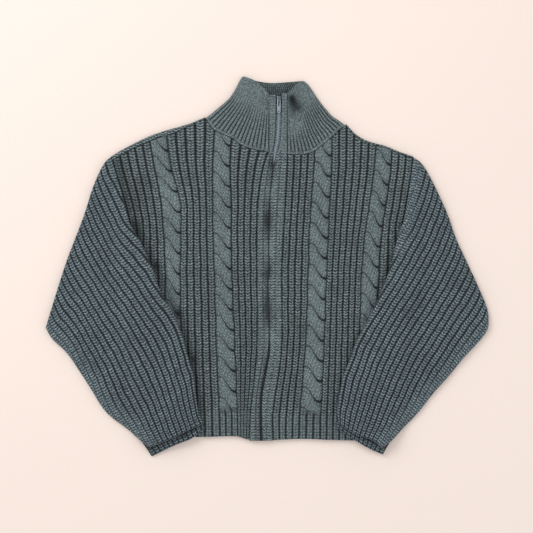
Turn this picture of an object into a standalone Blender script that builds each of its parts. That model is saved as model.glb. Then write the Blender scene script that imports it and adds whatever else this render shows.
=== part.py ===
"""A cropped cardigan knitted in ribs and cables, zipped up to its high collar and laid flat on its back.

Lengths are in millimetres and are turned into metres where a mesh is made. X runs to the right of
someone looking down at the cardigan, so the wearer's right side is at -X. Y runs towards the collar
and Z up from the table. Each panel is a wall with a plain inside, and its ribs and cables are raised
in its outer points.
"""

import math

import bmesh
import bpy
from mathutils import Vector

MM = 0.001

# Cloth, from the table up.
BACK_WALL = 3.0
LAYER_GAP = 0.3
FRONT_FLOOR = BACK_WALL + LAYER_GAP
FRONT_WALL = 2.4
RIB_HEIGHT = 1.5
CABLE_HEIGHT = 3.0
SEAM_GAP = 0.6
SHOULDER_ROLL = {"right": 8.0, "left": 3.0}
SHOULDER_TOP = 7.0
CABLE_PITCH = 31.8
CABLE_LEAN = 0.37
CABLE_HOOK = 0.62
HEM_HEIGHT = 41.0

# Sleeves: two layers with a thin hollow, lifted where they lie over the body.
SLEEVE_HALF = 3.6
SLEEVE_HOLLOW = 0.8
SLEEVE_LIFT = 9.7
LIFT_RUN = 34.0
FOLD_RADIUS = 4.5
FOLD_SHARE = 0.04
SLEEVE_RIBS = 20

# Collar.
COLLAR_FRONT_FLOOR = 4.2
COLLAR_WALL = 3.0
COLLAR_RIB_HEIGHT = 1.1
COLLAR_RIBS_FRONT = 17
COLLAR_RIBS_BACK = 34
COLLAR_FOLD = 3.7

# Zip and its bands.
TAPE_WALL = 0.6
TAPE_WIDTH = 8.5
CHAIN_FLOOR = 4.2
CHAIN_TOP = 6.4
CHAIN_WIDTH = 5.0
BAND_GAP_COLLAR = 4.0
BAND_GAP_BODY = 0.4
BAND_TOP = 8.4

# Slider and pull tab.
SLIDER_Y = 258.0
SLIDER_LENGTH = 12.0
SLIDER_WIDTH = 7.0
PLATE_WALL = 1.3
BRIDGE_WIDTH = 2.4
BRIDGE_WIRE = 1.2
BRIDGE_TOP = 11.1
HINGE_Z = 8.95
TAB_LENGTH = 21.0
TAB_WIDTH = 5.5
TAB_WALL = 1.2
TAB_ARM = 1.1
TAB_EYE_LENGTH = 5.0
TAB_HOLE_RADIUS = 1.1
TAB_HOLE_INSET = 2.6

COLOURS = {
    "knit": ((0.092, 0.122, 0.127), 0.92, 0.0),
    "tape": ((0.080, 0.105, 0.110), 0.85, 0.0),
    "metal": ((0.55, 0.56, 0.57), 0.32, 1.0),
}

# Guide lines of each front: x at each height y. The stretches between them hold ribs or a cable.
RIGHT_FRONT = {
    "y": (-270, -229, -129, -5, 57, 103, 157, 212),
    "band": (-30, -28, -18, -18, -18, -16, -7, 12),
    "inner_cable_near": (-47, -48, -52, -57, -58, -58, -60, -57),
    "inner_cable_far": (-75, -76, -80, -84, -86, -86, -86, -83),
    "outer_cable_near": (-134, -134, -136, -137, -136, -138, -152, -160),
    "outer_cable_far": (-159, -159, -160, -160, -163, -167, -177, -187),
    "edge": (-184, -187, -204, -218, -214, -224, -240, -250),
}
LEFT_FRONT = {
    "y": (-270, -229, -129, -5, 57, 103, 157, 212),
    "band": (7, 6.5, 20, 20.5, 23.5, 26, 29, 29),
    "inner_cable_near": (47, 48.5, 57, 62, 64, 67, 71, 74),
    "inner_cable_far": (80, 81, 86, 90, 93, 95, 98, 98),
    "outer_cable_near": (139, 139.5, 141, 145, 151, 158, 165, 168),
    "outer_cable_far": (167, 167, 168, 171, 176, 183, 190, 191),
    "edge": (182, 185, 199, 213, 208, 215, 223, 226),
}
GUIDES = ("band", "inner_cable_near", "inner_cable_far", "outer_cable_near", "outer_cable_far", "edge")
RIBS_BETWEEN = {"right": (4, 0, 5, 0, 5), "left": (4, 0, 6, 0, 3)}
# Where each cable's crossings start, as a share of their pitch.
CABLE_SHIFT = {"right": {1: 0.74, 3: -0.02}, "left": {1: 0.24, 3: -0.33}}
CABLE_COLUMNS = 6
CABLE_CUTS = 4
DENSE_ROWS = (0.08, 0.98)

# Seams and outlines as (x, y), from the wearer's right to the left.
RIGHT_SHOULDER = ((-254, 165), (-246, 170), (-226, 182), (-205, 193), (-181, 204), (-153, 213),
                  (-125, 221), (-98, 232))
LEFT_SHOULDER = ((119.5, 222), (136, 205), (154, 195), (182, 187), (201, 179), (227, 170), (234, 166))
RIGHT_NECKLINE = ((-97.5, 223), (-92, 218), (-86, 213), (-70, 205), (-55, 198), (-40, 187), (-21, 181),
                  (4, 177))
LEFT_NECKLINE = ((22, 174), (40, 173.5), (57, 174), (71, 179), (94, 197), (110, 212), (119, 219))
BACK_NECKLINE = ((-97.5, 224), (-86, 213), (-50, 206), (10, 202), (60, 204), (104, 210), (119, 219))
HEM = ((-190, -264), (-97, -264), (-50, -263), (-32, -268), (-12, -270), (24, -268), (52, -267),
       (108, -269), (190, -270))

# The zip's centre line, as (y, x).
ZIP_LINE = ((-272, -11), (-230, -12), (-199, -11), (-164, -5), (-129, 1), (-83, 1), (-29, -1), (-5, 1),
            (41, 0), (103, 2), (142, 6), (160, 8), (181, 11), (196, 14), (235, 16), (275, 16))

# Heights down the armhole seam. Below them the sleeve's inner side is a fold that laps over the body.
SEAM_STOPS = {"right": (171.5, 156, 140, 124, 108), "left": (169, 154, 139, 124, 108)}
SEAM_END = 71

# Sleeve outlines.
RIGHT_SLEEVE = {
    "elbow_to_shoulder": ((-346, -95), (-332, -49), (-314, 7), (-300, 44), (-286, 81), (-274, 119),
                          (-263, 146), (-257, 157), (-252, 164)),
    "elbow_to_cuff": ((-346, -95), (-336, -112), (-314, -133), (-295, -160), (-277, -188), (-252, -226),
                      (-218, -253), (-197, -271), (-185, -280)),
    "fold_to_cuff": ((-215, 69), (-199, 41), (-181, 2), (-167, -38), (-146, -74), (-133, -105),
                     (-123, -143), (-115, -171), (-112, -199), (-108, -224), (-100, -243)),
    "cuff_upper": ((-185, -280), (-143, -263), (-122, -252), (-100, -243)),
    "cuff_lower": ((-181, -295), (-145, -277), (-119, -266), (-98, -251)),
}
LEFT_SLEEVE = {
    "elbow_to_shoulder": ((342, -90), (340, -67), (325, -30), (308, 7), (291, 44), (278, 81), (261, 119),
                          (247, 146), (240, 157), (233, 164.5)),
    "elbow_to_cuff": ((342, -90), (339, -100), (329, -114), (303, -142), (280, -170), (255, -198),
                      (233, -226), (207, -253), (188, -272), (176, -281)),
    "fold_to_cuff": ((209, 72), (201, 50), (191, 10), (181, -21), (162, -66), (153, -83), (136, -115),
                     (126, -142), (115, -171), (108, -208), (106, -226), (108, -243)),
    "cuff_upper": ((176, -281), (160, -268), (136, -260), (108, -243)),
    "cuff_lower": ((177, -292), (154, -281), (126, -264), (105, -249)),
}

# Collar outlines.
COLLAR_RIGHT_SIDE = ((-97, 223.8), (-92, 236), (-78, 244), (-67, 255), (-58, 263), (-49, 280), (-44, 292),
                     (-40, 295))
COLLAR_LEFT_SIDE = ((118.6, 219.8), (116, 226), (98, 235), (83, 252), (67, 272), (60, 284), (55, 288))
COLLAR_RIGHT_TOP = ((1, 267), (-5, 274), (-22, 288), (-40, 295))
COLLAR_LEFT_TOP = ((29, 269), (40, 278), (47, 284), (55, 288))
COLLAR_BACK_TOP = ((-40, 295), (-22, 288.5), (2, 285), (29, 286), (55, 288))
COLLAR_BAND_EDGE = {"right": 1.0, "left": 29.0}
BAND_TOP_Y = {"right": 266.0, "left": 268.5}

# Swells and hollows along the bands: the height up the band, its half length and its height.
BAND_RIPPLES = ((159, 10, -1.2), (115, 13, 1.0), (72, 22, -1.5), (27, 13, 1.2), (-10, 12, -1.3),
                (-66, 24, -1.3), (-114, 18, 1.1))
BAND_RIPPLE_SHARE = {"right": 0.4, "left": 1.0}

# Creases and swells of the body: a line from (x0, y0) to (x1, y1), its half width and its height.
DRAPE = (
    # x0, y0, x1, y1, half width, height
    (-178, 98, -174, -8, 5, -1.0),
    (-194, 92, -190, 30, 9, 2.2),
    (-206, 150, -204, 96, 10, -0.9),
    (-47, -135, -44, -262, 6, 1.2),
    (168, 120, 160, 40, 14, 0.9),
    (-112, 120, -112, -60, 16, 0.5),
    (80, 60, 78, -120, 20, 0.5),
)
# Swells and dents of the collar: centre, half widths across and up, height.
COLLAR_DRAPE = (
    # x, y, half width, half height, height
    (16, 262, 45, 34, 1.6),
    (-1, 250, 7, 9, -1.4),
    (44, 249, 9, 11, -1.9),
    (-45, 262, 16, 22, 0.8),
)


def through(points, at):
    """The height on the smooth line through (place, height) points, at a place."""
    first, last = points[0], points[-1]
    if at <= first[0]:
        step = points[1]
        return first[1] + (at - first[0]) * (step[1] - first[1]) / (step[0] - first[0])
    if at >= last[0]:
        step = points[-2]
        return last[1] + (at - last[0]) * (last[1] - step[1]) / (last[0] - step[0])
    index = next(i for i in range(len(points) - 1) if points[i + 1][0] >= at)
    before, start, end, after = (points[max(0, min(len(points) - 1, index + i))] for i in (-1, 0, 1, 2))
    width = end[0] - start[0]
    share = (at - start[0]) / width
    slope_in = (end[1] - before[1]) / (end[0] - before[0])
    slope_out = (after[1] - start[1]) / (after[0] - start[0])
    square, cube = share * share, share**3
    return (
        start[1] * (2 * cube - 3 * square + 1)
        + slope_in * width * (cube - 2 * square + share)
        + end[1] * (3 * square - 2 * cube)
        + slope_out * width * (cube - square)
    )


def path(points):
    """A function of a share from 0 to 1 that runs along the smooth line through (x, y) points."""
    spots = [0.0]
    for start, end in zip(points, points[1:]):
        spots.append(spots[-1] + math.dist(start, end))
    across = [(spot / spots[-1], point[0]) for spot, point in zip(spots, points)]
    along = [(spot / spots[-1], point[1]) for spot, point in zip(spots, points)]
    return lambda share: Vector((through(across, share), through(along, share)))


def patch(left, right, bottom, top):
    """The plan of a panel between four paths: a function of u, left to right, and v, bottom to top."""
    corners = {(i, j): (left, right)[i](j) for i in (0, 1) for j in (0, 1)}

    def plan(u, v):
        ruled = left(v) * (1 - u) + right(v) * u + bottom(u) * (1 - v) + top(u) * v
        square = corners[0, 0] * (1 - u) * (1 - v) + corners[1, 0] * u * (1 - v)
        return ruled - square - corners[0, 1] * (1 - u) * v - corners[1, 1] * u * v

    return plan


def smooth(value):
    """A soft step from 0 to 1."""
    value = max(0.0, min(1.0, value))
    return value * value * (3 - 2 * value)


def rounded(distance, radius):
    """The height of a rounded edge, as a share, at a distance from it."""
    return math.sqrt(max(0.0, 1 - (1 - min(distance / radius, 1.0)) ** 2))


def distance_to_line(x, y, x0, y0, x1, y1):
    """How far a point lies from a straight stretch."""
    along, out = Vector((x1 - x0, y1 - y0)), Vector((x - x0, y - y0))
    share = max(0.0, min(1.0, out.dot(along) / along.length_squared))
    return (out - along * share).length


def drape(x, y):
    """The height that creases and swells add to the body."""
    total = 0.0
    for x0, y0, x1, y1, width, height in DRAPE:
        total += height * math.exp(-((distance_to_line(x, y, x0, y0, x1, y1) / width) ** 2))
    return total


def collar_drape(x, y):
    """The height that swells and dents add to the front of the collar."""
    total = 0.0
    for centre_x, centre_y, width, height_width, height in COLLAR_DRAPE:
        spread = ((x - centre_x) / width) ** 2 + ((y - centre_y) / height_width) ** 2
        total += height * math.exp(-spread)
    return total


def rope(across, y, shift):
    """A cable's height as a share: rounded strands that cross on a lean, across from -1 to 1."""
    phase = y / CABLE_PITCH + CABLE_LEAN * math.sin(across * math.pi * CABLE_HOOK) + shift
    strand = math.sqrt(max(0.0, 1 - (2 * (phase % 1.0) - 1) ** 2))
    return (0.45 + 0.55 * strand) * (1 - across**4)


def slab(columns, rows, place, dense=(), keep_every=1):
    """A closed wall over a grid of columns and rows, shaped by place(u, v, side).

    Side is 0 on the wall's inside and 1 on its outside. The stretches of u in dense get finer rows
    over DENSE_ROWS, and the inside keeps one column in keep_every.
    """
    bm = bmesh.new()
    bmesh.ops.create_grid(bm, x_segments=len(columns) - 1, y_segments=len(rows) - 1, size=0.5)
    for vert in bm.verts:
        column = round((vert.co.x + 0.5) * (len(columns) - 1))
        row = round((vert.co.y + 0.5) * (len(rows) - 1))
        vert.co = (columns[column], rows[row], 0)
    for low, high, cuts in dense:
        edges = [
            edge for edge in bm.edges
            if edge.verts[0].co.x == edge.verts[1].co.x and low <= edge.verts[0].co.x <= high
            and all(DENSE_ROWS[0] <= vert.co.y <= DENSE_ROWS[1] for vert in edge.verts)
        ]
        bmesh.ops.subdivide_edges(bm, edges=edges, cuts=cuts, use_grid_fill=True)
    inside = set(bm.verts)
    raised = bmesh.ops.extrude_face_region(bm, geom=bm.faces[:], use_keep_orig=True)
    for item in raised["geom"]:
        if isinstance(item, bmesh.types.BMVert) and item not in inside:
            item.co.z = 1
    dropped = {columns[i] for i in range(1, len(columns) - 1) if i % keep_every}
    thinned = [
        edge for edge in bm.edges
        if edge.verts[0].co.z == 0 and edge.verts[1].co.z == 0
        and edge.verts[0].co.x == edge.verts[1].co.x and edge.verts[0].co.x in dropped
    ]
    bmesh.ops.dissolve_edges(bm, edges=thinned, use_verts=True)
    for vert in bm.verts:
        vert.co = Vector(place(*vert.co)) * MM
    bmesh.ops.remove_doubles(bm, verts=bm.verts, dist=0.02 * MM)
    bmesh.ops.recalc_face_normals(bm, faces=bm.faces)
    return bm


def material(kind):
    """The Principled material of one kind of stuff."""
    found = bpy.data.materials.get(kind)
    if found:
        return found
    colour, roughness, metallic = COLOURS[kind]
    found = bpy.data.materials.new(kind)
    found.use_nodes = True
    shader = found.node_tree.nodes["Principled BSDF"]
    shader.inputs["Base Color"].default_value = (*colour, 1)
    shader.inputs["Roughness"].default_value = roughness
    shader.inputs["Metallic"].default_value = metallic
    return found


def piece(name, bm, collection, kind="knit"):
    """Makes an object of a bmesh, with its material, in a collection."""
    mesh = bpy.data.meshes.new(name)
    bm.to_mesh(mesh)
    bm.free()
    mesh.shade_smooth()
    mesh.set_sharp_from_angle(angle=math.radians(50))
    obj = bpy.data.objects.new(name, mesh)
    obj.data.materials.append(material(kind))
    collection.objects.link(obj)
    return obj


def spread(start, end, count):
    """Evenly spaced values, with both ends."""
    return [start + (end - start) * i / count for i in range(count + 1)]


def guide(table, name, y):
    """Where a front's guide line is at a height."""
    return through(tuple(zip(table["y"], table[name])), y)


def front_plan(side):
    """The columns of a front and the function that gives their x at a height."""
    table = RIGHT_FRONT if side == "right" else LEFT_FRONT
    columns, cables = [], []
    for stretch, ribs in enumerate(RIBS_BETWEEN[side]):
        count = 2 * ribs or CABLE_COLUMNS
        if not ribs:
            cables.append((stretch, stretch + 1))
        columns += spread(stretch, stretch + 1, count)[:-1]
    columns.append(len(GUIDES) - 1)

    def across(column, y):
        stretch = min(int(column), len(GUIDES) - 2)
        near, far = (guide(table, name, y) for name in GUIDES[stretch:stretch + 2])
        return near + (far - near) * (column - stretch)

    return columns, cables, across


def front_top(side, x):
    """The height of a front's upper edge: the shoulder seam, then the neckline."""
    shoulder = RIGHT_SHOULDER if side == "right" else LEFT_SHOULDER
    neckline = RIGHT_NECKLINE if side == "right" else LEFT_NECKLINE
    on_shoulder = x < neckline[0][0] if side == "right" else x > neckline[-1][0]
    if on_shoulder:
        return through(shoulder, x) - SHOULDER_ROLL[side] - SEAM_GAP
    return through(neckline, x) - SEAM_GAP / 2


def front(side):
    """A front: ribs and two cables between its band and its armhole, from the hem to the shoulder."""
    columns, cables, across = front_plan(side)
    outward = -1 if side == "right" else 1
    ribs = RIBS_BETWEEN[side]
    rows = [0, 0.003, 0.04, 0.083, 0.1] + spread(0.17, 0.93, 8) + [0.975, 0.992, 1]

    def place(column, v, layer):
        column = min(column, columns[-1] - 1e-9)
        top = front_top(side, across(column, 200))
        top = front_top(side, across(column, top))
        bottom = through(HEM, across(column, HEM[0][1]))
        y = bottom + (top - bottom) * v
        x = across(column, y)
        ends = SEAM_GAP / 2 * ((column < 0.01) - (column > columns[-1] - 0.01))
        x += outward * ends
        if not layer:
            return x, y, FRONT_FLOOR
        stretch = int(column)
        share = column - stretch
        knitted_in = smooth((y - bottom - HEM_HEIGHT + 6) / 12)
        if ribs[stretch]:
            relief = RIB_HEIGHT * abs(math.sin(math.pi * ribs[stretch] * share))
        else:
            lean = (share * 2 - 1) * outward
            cable = CABLE_HEIGHT * rope(lean, y, CABLE_SHIFT[side][stretch])
            hem_rib = RIB_HEIGHT * abs(math.sin(math.pi * 3 * share))
            relief = hem_rib + (cable - hem_rib) * knitted_in
        ends = rounded(min(v, 1 - v) * (top - bottom) + 0.5, 2.5)
        return x, y, FRONT_FLOOR + FRONT_WALL * (0.7 + 0.3 * ends) + relief * ends + drape(x, y)

    dense = [(low, high, CABLE_CUTS) for low, high in cables]
    return slab(columns, rows, place, dense=dense)


def back():
    """The back panel, with its shoulder edges rolled forward."""
    right_shoulder = [-241.3, -234, -220, -205, -193, -181, -167, -153, -139, -125, -111, -97.9]
    neck = [-97.3, -94.5, -91.5, -88.5, -86, -82, -76, -68, -50, -20,
            10, 40, 60, 82, 94, 104, 108, 112, 116, 119.3]
    left_shoulder = [119.9, 128, 136, 145, 154, 168, 182, 192, 201, 214, 223.5]
    columns = right_shoulder + neck + left_shoulder
    rows = spread(0, 1, 12) + [2, 3, 4, 5]
    ends = {"right": (right_shoulder[-1], columns[0]), "left": (left_shoulder[0], columns[-1])}

    def place(column, v, layer):
        side = "right" if column < 0 else "left"
        shoulder = column < neck[0] - 0.1 or column > neck[-1] + 0.1
        roll = SHOULDER_ROLL[side]
        outline = RIGHT_SHOULDER if side == "right" else LEFT_SHOULDER
        top = through(outline, column) if shoulder else through(BACK_NECKLINE, column) - SEAM_GAP
        steps = (roll, roll - 0.1, roll * 0.45, 1.0, 0.0) if shoulder else (0.4, 0.3, 0.2, 0.1, 0.0)
        bottom = through(HEM, column) - 0.8
        x = column
        if v <= 1:
            depth = 99.0
            y = bottom + (top - steps[0] - bottom) * v
        else:
            depth = steps[int(v) - 1]
            y = top - depth
        if shoulder and v < 1:
            near, far = ends[side]
            far_bottom = through(HEM, far) - 0.8
            far_y = far_bottom + (through(outline, far) - roll - far_bottom) * v
            edge = guide(RIGHT_FRONT if side == "right" else LEFT_FRONT, "edge", far_y)
            edge += SEAM_GAP / 2 if side == "right" else -SEAM_GAP / 2
            x = near + (column - near) * (edge - near) / (far - near)
        if not shoulder or v <= 1:
            return x, y, BACK_WALL * layer
        middle = SHOULDER_TOP / 2
        rise = rounded(depth, min(roll * 0.6, middle))
        if layer:
            return x, y, BACK_WALL if depth >= roll else middle + middle * rise
        return x, y, middle - middle * rounded(depth, middle)

    return slab(columns, rows, place)


def sleeve_lift(side, x, y):
    """How high the body under a sleeve lifts it off the table."""
    edge = guide(RIGHT_FRONT if side == "right" else LEFT_FRONT, "edge", min(y, 100))
    inside = (x - edge) if side == "right" else (edge - x)
    above_hem = y - through(HEM, x)
    below_seam = smooth((150 - y) / 85)
    return SLEEVE_LIFT * smooth(1 + inside / LIFT_RUN) * smooth(1 + above_hem / LIFT_RUN) * below_seam


def sleeve_plan(side):
    """The plan of a sleeve: u runs across its ribs, from the lower edge to the body, and v up them."""
    table = RIGHT_SLEEVE if side == "right" else LEFT_SLEEVE
    fronts = RIGHT_FRONT if side == "right" else LEFT_FRONT
    outward = -1 if side == "right" else 1
    seam = tuple((guide(fronts, "edge", y) + outward * SEAM_GAP / 4, y) for y in SEAM_STOPS[side])
    lower = path(tuple(reversed(table["elbow_to_cuff"])))
    inner = path(tuple(reversed(seam + table["fold_to_cuff"])))
    return patch(lower, inner, path(table["cuff_upper"]), path(table["elbow_to_shoulder"] + seam[:1]))


def sleeve(side, groups):
    """A sleeve: a flattened tube, ribbed above, open at the cuff and at the armhole."""
    table = RIGHT_SLEEVE if side == "right" else LEFT_SLEEVE
    plan = sleeve_plan(side)
    cuff_lower = path(table["cuff_lower"])
    columns = [0, 0.006] + spread(0.5 / SLEEVE_RIBS, 1, 2 * SLEEVE_RIBS - 1)[:-1] + [0.994, 1]
    rows = [0, 0.012] + spread(0.07, 0.96, 9) + [0.988, 0.996, 1]
    # Half the seam gap, across the ribs.
    shrink = 1 - SEAM_GAP / 2 / 200

    def is_seam(v):
        return plan(1, v).y > SEAM_END

    def edge_share(u, v):
        spot = plan(u, v)
        folds = [plan(0, v), plan(u, 1)] + [plan(1, v)] * (not is_seam(v))
        nearest = min((spot - fold).length for fold in folds)
        return max(FOLD_SHARE, rounded(nearest, FOLD_RADIUS))

    def place(u, v, layer):
        spot = plan(u * shrink, v)
        if not layer and v == 0:
            spot = cuff_lower(u)
        share = edge_share(u, v)
        middle = sleeve_lift(side, spot.x, spot.y) + SLEEVE_HALF
        if not layer:
            return spot.x, spot.y, middle - SLEEVE_HALF * share
        rib = RIB_HEIGHT * abs(math.sin(math.pi * SLEEVE_RIBS * u))
        return spot.x, spot.y, middle + (SLEEVE_HALF + rib) * share

    def hollow(u, v, layer):
        up = -0.045 + 1.025 * v
        across = 0.03 + ((1.02 if is_seam(up) else 0.97) - 0.03) * u
        spot = plan(across, up)
        middle = sleeve_lift(side, spot.x, spot.y) + SLEEVE_HALF
        return spot.x, spot.y, middle + SLEEVE_HOLLOW * (layer - 0.5)

    outer = piece(f"{side}_sleeve", slab(columns, rows, place, keep_every=4), groups["parts"])
    inside = slab(spread(0, 1, 6), spread(0, 1, 16), hollow)
    cut(outer, piece(f"{side}_sleeve_hollow", inside, groups["cutters"]))
    return outer


def cut(obj, cutter, operation="DIFFERENCE"):
    """Adds a Boolean of an object with a hidden helper."""
    cutter.hide_render = True
    cutter.display_type = "WIRE"
    boolean = obj.modifiers.new(cutter.name, "BOOLEAN")
    boolean.operation = operation
    boolean.object = cutter


def collar():
    """The collar: one ribbed strip folded at both sides, from one band round the neck to the other."""
    right_edge = COLLAR_BAND_EDGE["right"] - SEAM_GAP / 2
    left_edge = COLLAR_BAND_EDGE["left"] + SEAM_GAP / 2
    raise_seam = Vector((0, SEAM_GAP / 2))

    def seam(points):
        line = path(points)
        return lambda share: line(share) + raise_seam

    def upright(x, low, high):
        return lambda share: Vector((x, low + (high - low) * share))

    def side(points, inset):
        line = path(points)
        return lambda share: line(share) + Vector((inset, 0))

    def plans(inset):
        right_side, left_side = side(COLLAR_RIGHT_SIDE, inset), side(COLLAR_LEFT_SIDE, -inset)
        shift_right, shift_left = Vector((inset, 0)), Vector((-inset, 0))

        def moved(line, start, end):
            return lambda share: line(share) + start * (1 - share) + end * share

        none = Vector((0, 0))
        right_end = (right_edge, through(RIGHT_NECKLINE, right_edge))
        left_end = (left_edge, through(LEFT_NECKLINE, left_edge))
        right_neck = seam([right_end] + list(reversed(RIGHT_NECKLINE[:-1])))
        left_neck = seam(list(reversed(LEFT_NECKLINE[1:])) + [left_end])
        right_top = path([(right_edge, 267)] + list(COLLAR_RIGHT_TOP[1:]))
        left_top = path(list(reversed(COLLAR_LEFT_TOP[1:])) + [(left_edge, 269)])
        right_front = patch(
            upright(right_edge, right_neck(0).y, 267), right_side,
            moved(right_neck, none, shift_right), moved(right_top, none, shift_right),
        )
        behind = patch(
            right_side, left_side,
            moved(seam(BACK_NECKLINE), shift_right, shift_left),
            moved(path(COLLAR_BACK_TOP), shift_right, shift_left),
        )
        left_front = patch(
            left_side, upright(left_edge, left_neck(1).y, 269),
            moved(left_neck, shift_left, none), moved(left_top, shift_left, none),
        )
        return right_front, behind, left_front

    outer_plans, inner_plans = plans(0.0), plans(COLLAR_WALL)
    columns = spread(0, 1, 2 * COLLAR_RIBS_FRONT)
    columns += spread(1, 2, COLLAR_RIBS_BACK)[1:]
    columns += spread(2, 3, 2 * COLLAR_RIBS_FRONT)[1:]
    rows = [0, 0.02, 0.22, 0.48, 0.74, 0.98, 1]

    def place(column, v, layer):
        part = min(int(column), 2)
        share = column - part
        spot = (outer_plans if layer else inner_plans)[part](share, v)
        folds = []
        if part in (0, 1):
            folds.append((spot - outer_plans[0](1, v)).length)
        if part in (1, 2):
            folds.append((spot - outer_plans[2](0, v)).length)
        distance = min(folds)
        if layer:
            full = rounded(distance, FOLD_RADIUS)
        else:
            full = rounded(max(0.0, distance - COLLAR_WALL), FOLD_RADIUS)
        if part == 1:
            floor = 0.0 if layer else BACK_WALL
            return spot.x, spot.y, COLLAR_FOLD + (floor - COLLAR_FOLD) * full
        swell = collar_drape(spot.x, spot.y) * rounded(distance, 3 * FOLD_RADIUS)
        if not layer:
            return spot.x, spot.y, COLLAR_FOLD + (COLLAR_FRONT_FLOOR + max(swell, 0) - COLLAR_FOLD) * full
        rib = COLLAR_RIB_HEIGHT * abs(math.sin(math.pi * COLLAR_RIBS_FRONT * share)) * (1 - 0.6 * v)
        ends = rounded(min(v, 1 - v) * 100 + 0.5, 2.5)
        top = COLLAR_FRONT_FLOOR + COLLAR_WALL * (0.75 + 0.25 * ends) + rib * ends + swell
        return spot.x, spot.y, COLLAR_FOLD + (top - COLLAR_FOLD) * full

    return slab(columns, rows, place, keep_every=4)


def zip_at(y):
    """The x of the zip's centre line."""
    return through(ZIP_LINE, y)


def band_gap(y):
    """Half the opening between the bands: closed over the body, open over the collar."""
    return BAND_GAP_BODY + (BAND_GAP_COLLAR - BAND_GAP_BODY) * smooth((y - 155) / 32)


def band(side):
    """A band: the smooth knitted strip beside the zip, from the hem to the top of the collar."""
    outward = -1 if side == "right" else 1
    table = RIGHT_FRONT if side == "right" else LEFT_FRONT
    # Up to the chain's side, then over it.
    columns = [0, 0.14, 0.5, 0.8, 1, 2, 3]
    rows = spread(0, 0.79, 22) + [0.81, 0.825, 0.833, 0.84, 0.855] + spread(0.88, 1, 4)

    def place(column, v, layer):
        bottom = through(HEM, zip_at(-268))
        y = bottom + (BAND_TOP_Y[side] - bottom) * v
        collar_share = smooth((y - 172) / 8)
        edge = guide(table, "band", y)
        edge += (COLLAR_BAND_EDGE[side] - edge) * collar_share
        reach = outward * (edge - zip_at(y)) - SEAM_GAP / 2
        gap = band_gap(y)
        beside_chain = max(CHAIN_WIDTH / 2 + 2 * LAYER_GAP, gap + 0.6)
        stops = (reach, beside_chain + 0.2, beside_chain, gap)
        stretch = min(int(column), 2)
        distance = stops[stretch] + (stops[stretch + 1] - stops[stretch]) * (column - stretch)
        x = zip_at(y) + outward * distance
        over_chain = column >= 2 and gap < BAND_GAP_COLLAR - 0.4
        floor = CHAIN_TOP + LAYER_GAP if over_chain else CHAIN_FLOOR
        if not layer:
            return x, y, floor
        across = (reach - distance) / (reach - gap)
        ripple = sum(high * math.exp(-(((y - middle) / half) ** 2)) for middle, half, high in BAND_RIPPLES)
        crown = math.sin(math.pi * (0.25 + 0.55 * across))
        top = CHAIN_FLOOR + 1.6 + (BAND_TOP - CHAIN_FLOOR - 1.6 + BAND_RIPPLE_SHARE[side] * ripple) * crown
        top += (0.4 + collar_drape(x, y)) * collar_share
        ends = rounded(min(v, 1 - v) * (BAND_TOP_Y[side] - bottom) + 0.5, 2.5)
        lip = rounded(distance - gap + 0.6, 2.0)
        return x, y, floor + (max(top, floor + 1.2) - floor) * (0.5 + 0.5 * ends * lip)

    return slab(columns, rows, place)


def strip(low, high, floor, top, near, far, count):
    """A flat strip that follows the zip's line, from near to far to one side of it."""

    def place(u, v, layer):
        y = low + (high - low) * v
        return zip_at(y) + near + (far - near) * u, y, top if layer else floor

    return slab([0, 1], spread(0, 1, count), place)


def box(size, centre, bevel=0.0):
    """A box with rounded edges, sizes and centre in millimetres."""
    bm = bmesh.new()
    bmesh.ops.create_cube(bm, size=1)
    for vert in bm.verts:
        vert.co = Vector([(vert.co[i] * size[i] + centre[i]) * MM for i in range(3)])
    if bevel:
        bmesh.ops.bevel(bm, geom=bm.edges, offset=bevel * MM, segments=2, profile=0.5,
                        affect="EDGES", material=-1)
    return bm


def slider(parts, cutters):
    """The slider: two plates joined by a post at the upper end, with a bridge for the pull tab."""
    x = zip_at(SLIDER_Y)
    plate_top = CHAIN_TOP + LAYER_GAP + PLATE_WALL
    plate_z = plate_top - PLATE_WALL / 2
    size = (SLIDER_WIDTH, SLIDER_LENGTH, PLATE_WALL)
    body = piece("slider", box(size, (x, SLIDER_Y, plate_z), 0.4), parts, "metal")
    low_floor, low_top = FRONT_FLOOR, CHAIN_FLOOR - LAYER_GAP + 0.05
    adds = {
        "slider_lower_plate": box((SLIDER_WIDTH, SLIDER_LENGTH, low_top - low_floor),
                                  (x, SLIDER_Y, (low_top + low_floor) / 2)),
        "slider_post": box((SLIDER_WIDTH - 1, SLIDER_LENGTH * 0.45, plate_z - low_floor - 0.2),
                           (x, SLIDER_Y + SLIDER_LENGTH * 0.25, (plate_z + low_floor + 0.2) / 2)),
        "slider_bridge": box((BRIDGE_WIDTH, SLIDER_LENGTH * 0.7, BRIDGE_TOP - plate_z),
                             (x, SLIDER_Y, (BRIDGE_TOP + plate_z) / 2), 0.5),
    }
    for name, bm in adds.items():
        cut(body, piece(name, bm, cutters, "metal"), "UNION")
    eye_top = BRIDGE_TOP - BRIDGE_WIRE
    eye = box((BRIDGE_WIDTH * 2, SLIDER_LENGTH * 0.7 - 2 * BRIDGE_WIRE, eye_top - plate_top),
              (x, SLIDER_Y, (eye_top + plate_top) / 2))
    cut(body, piece("slider_eye", eye, cutters, "metal"))
    return body


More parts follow.
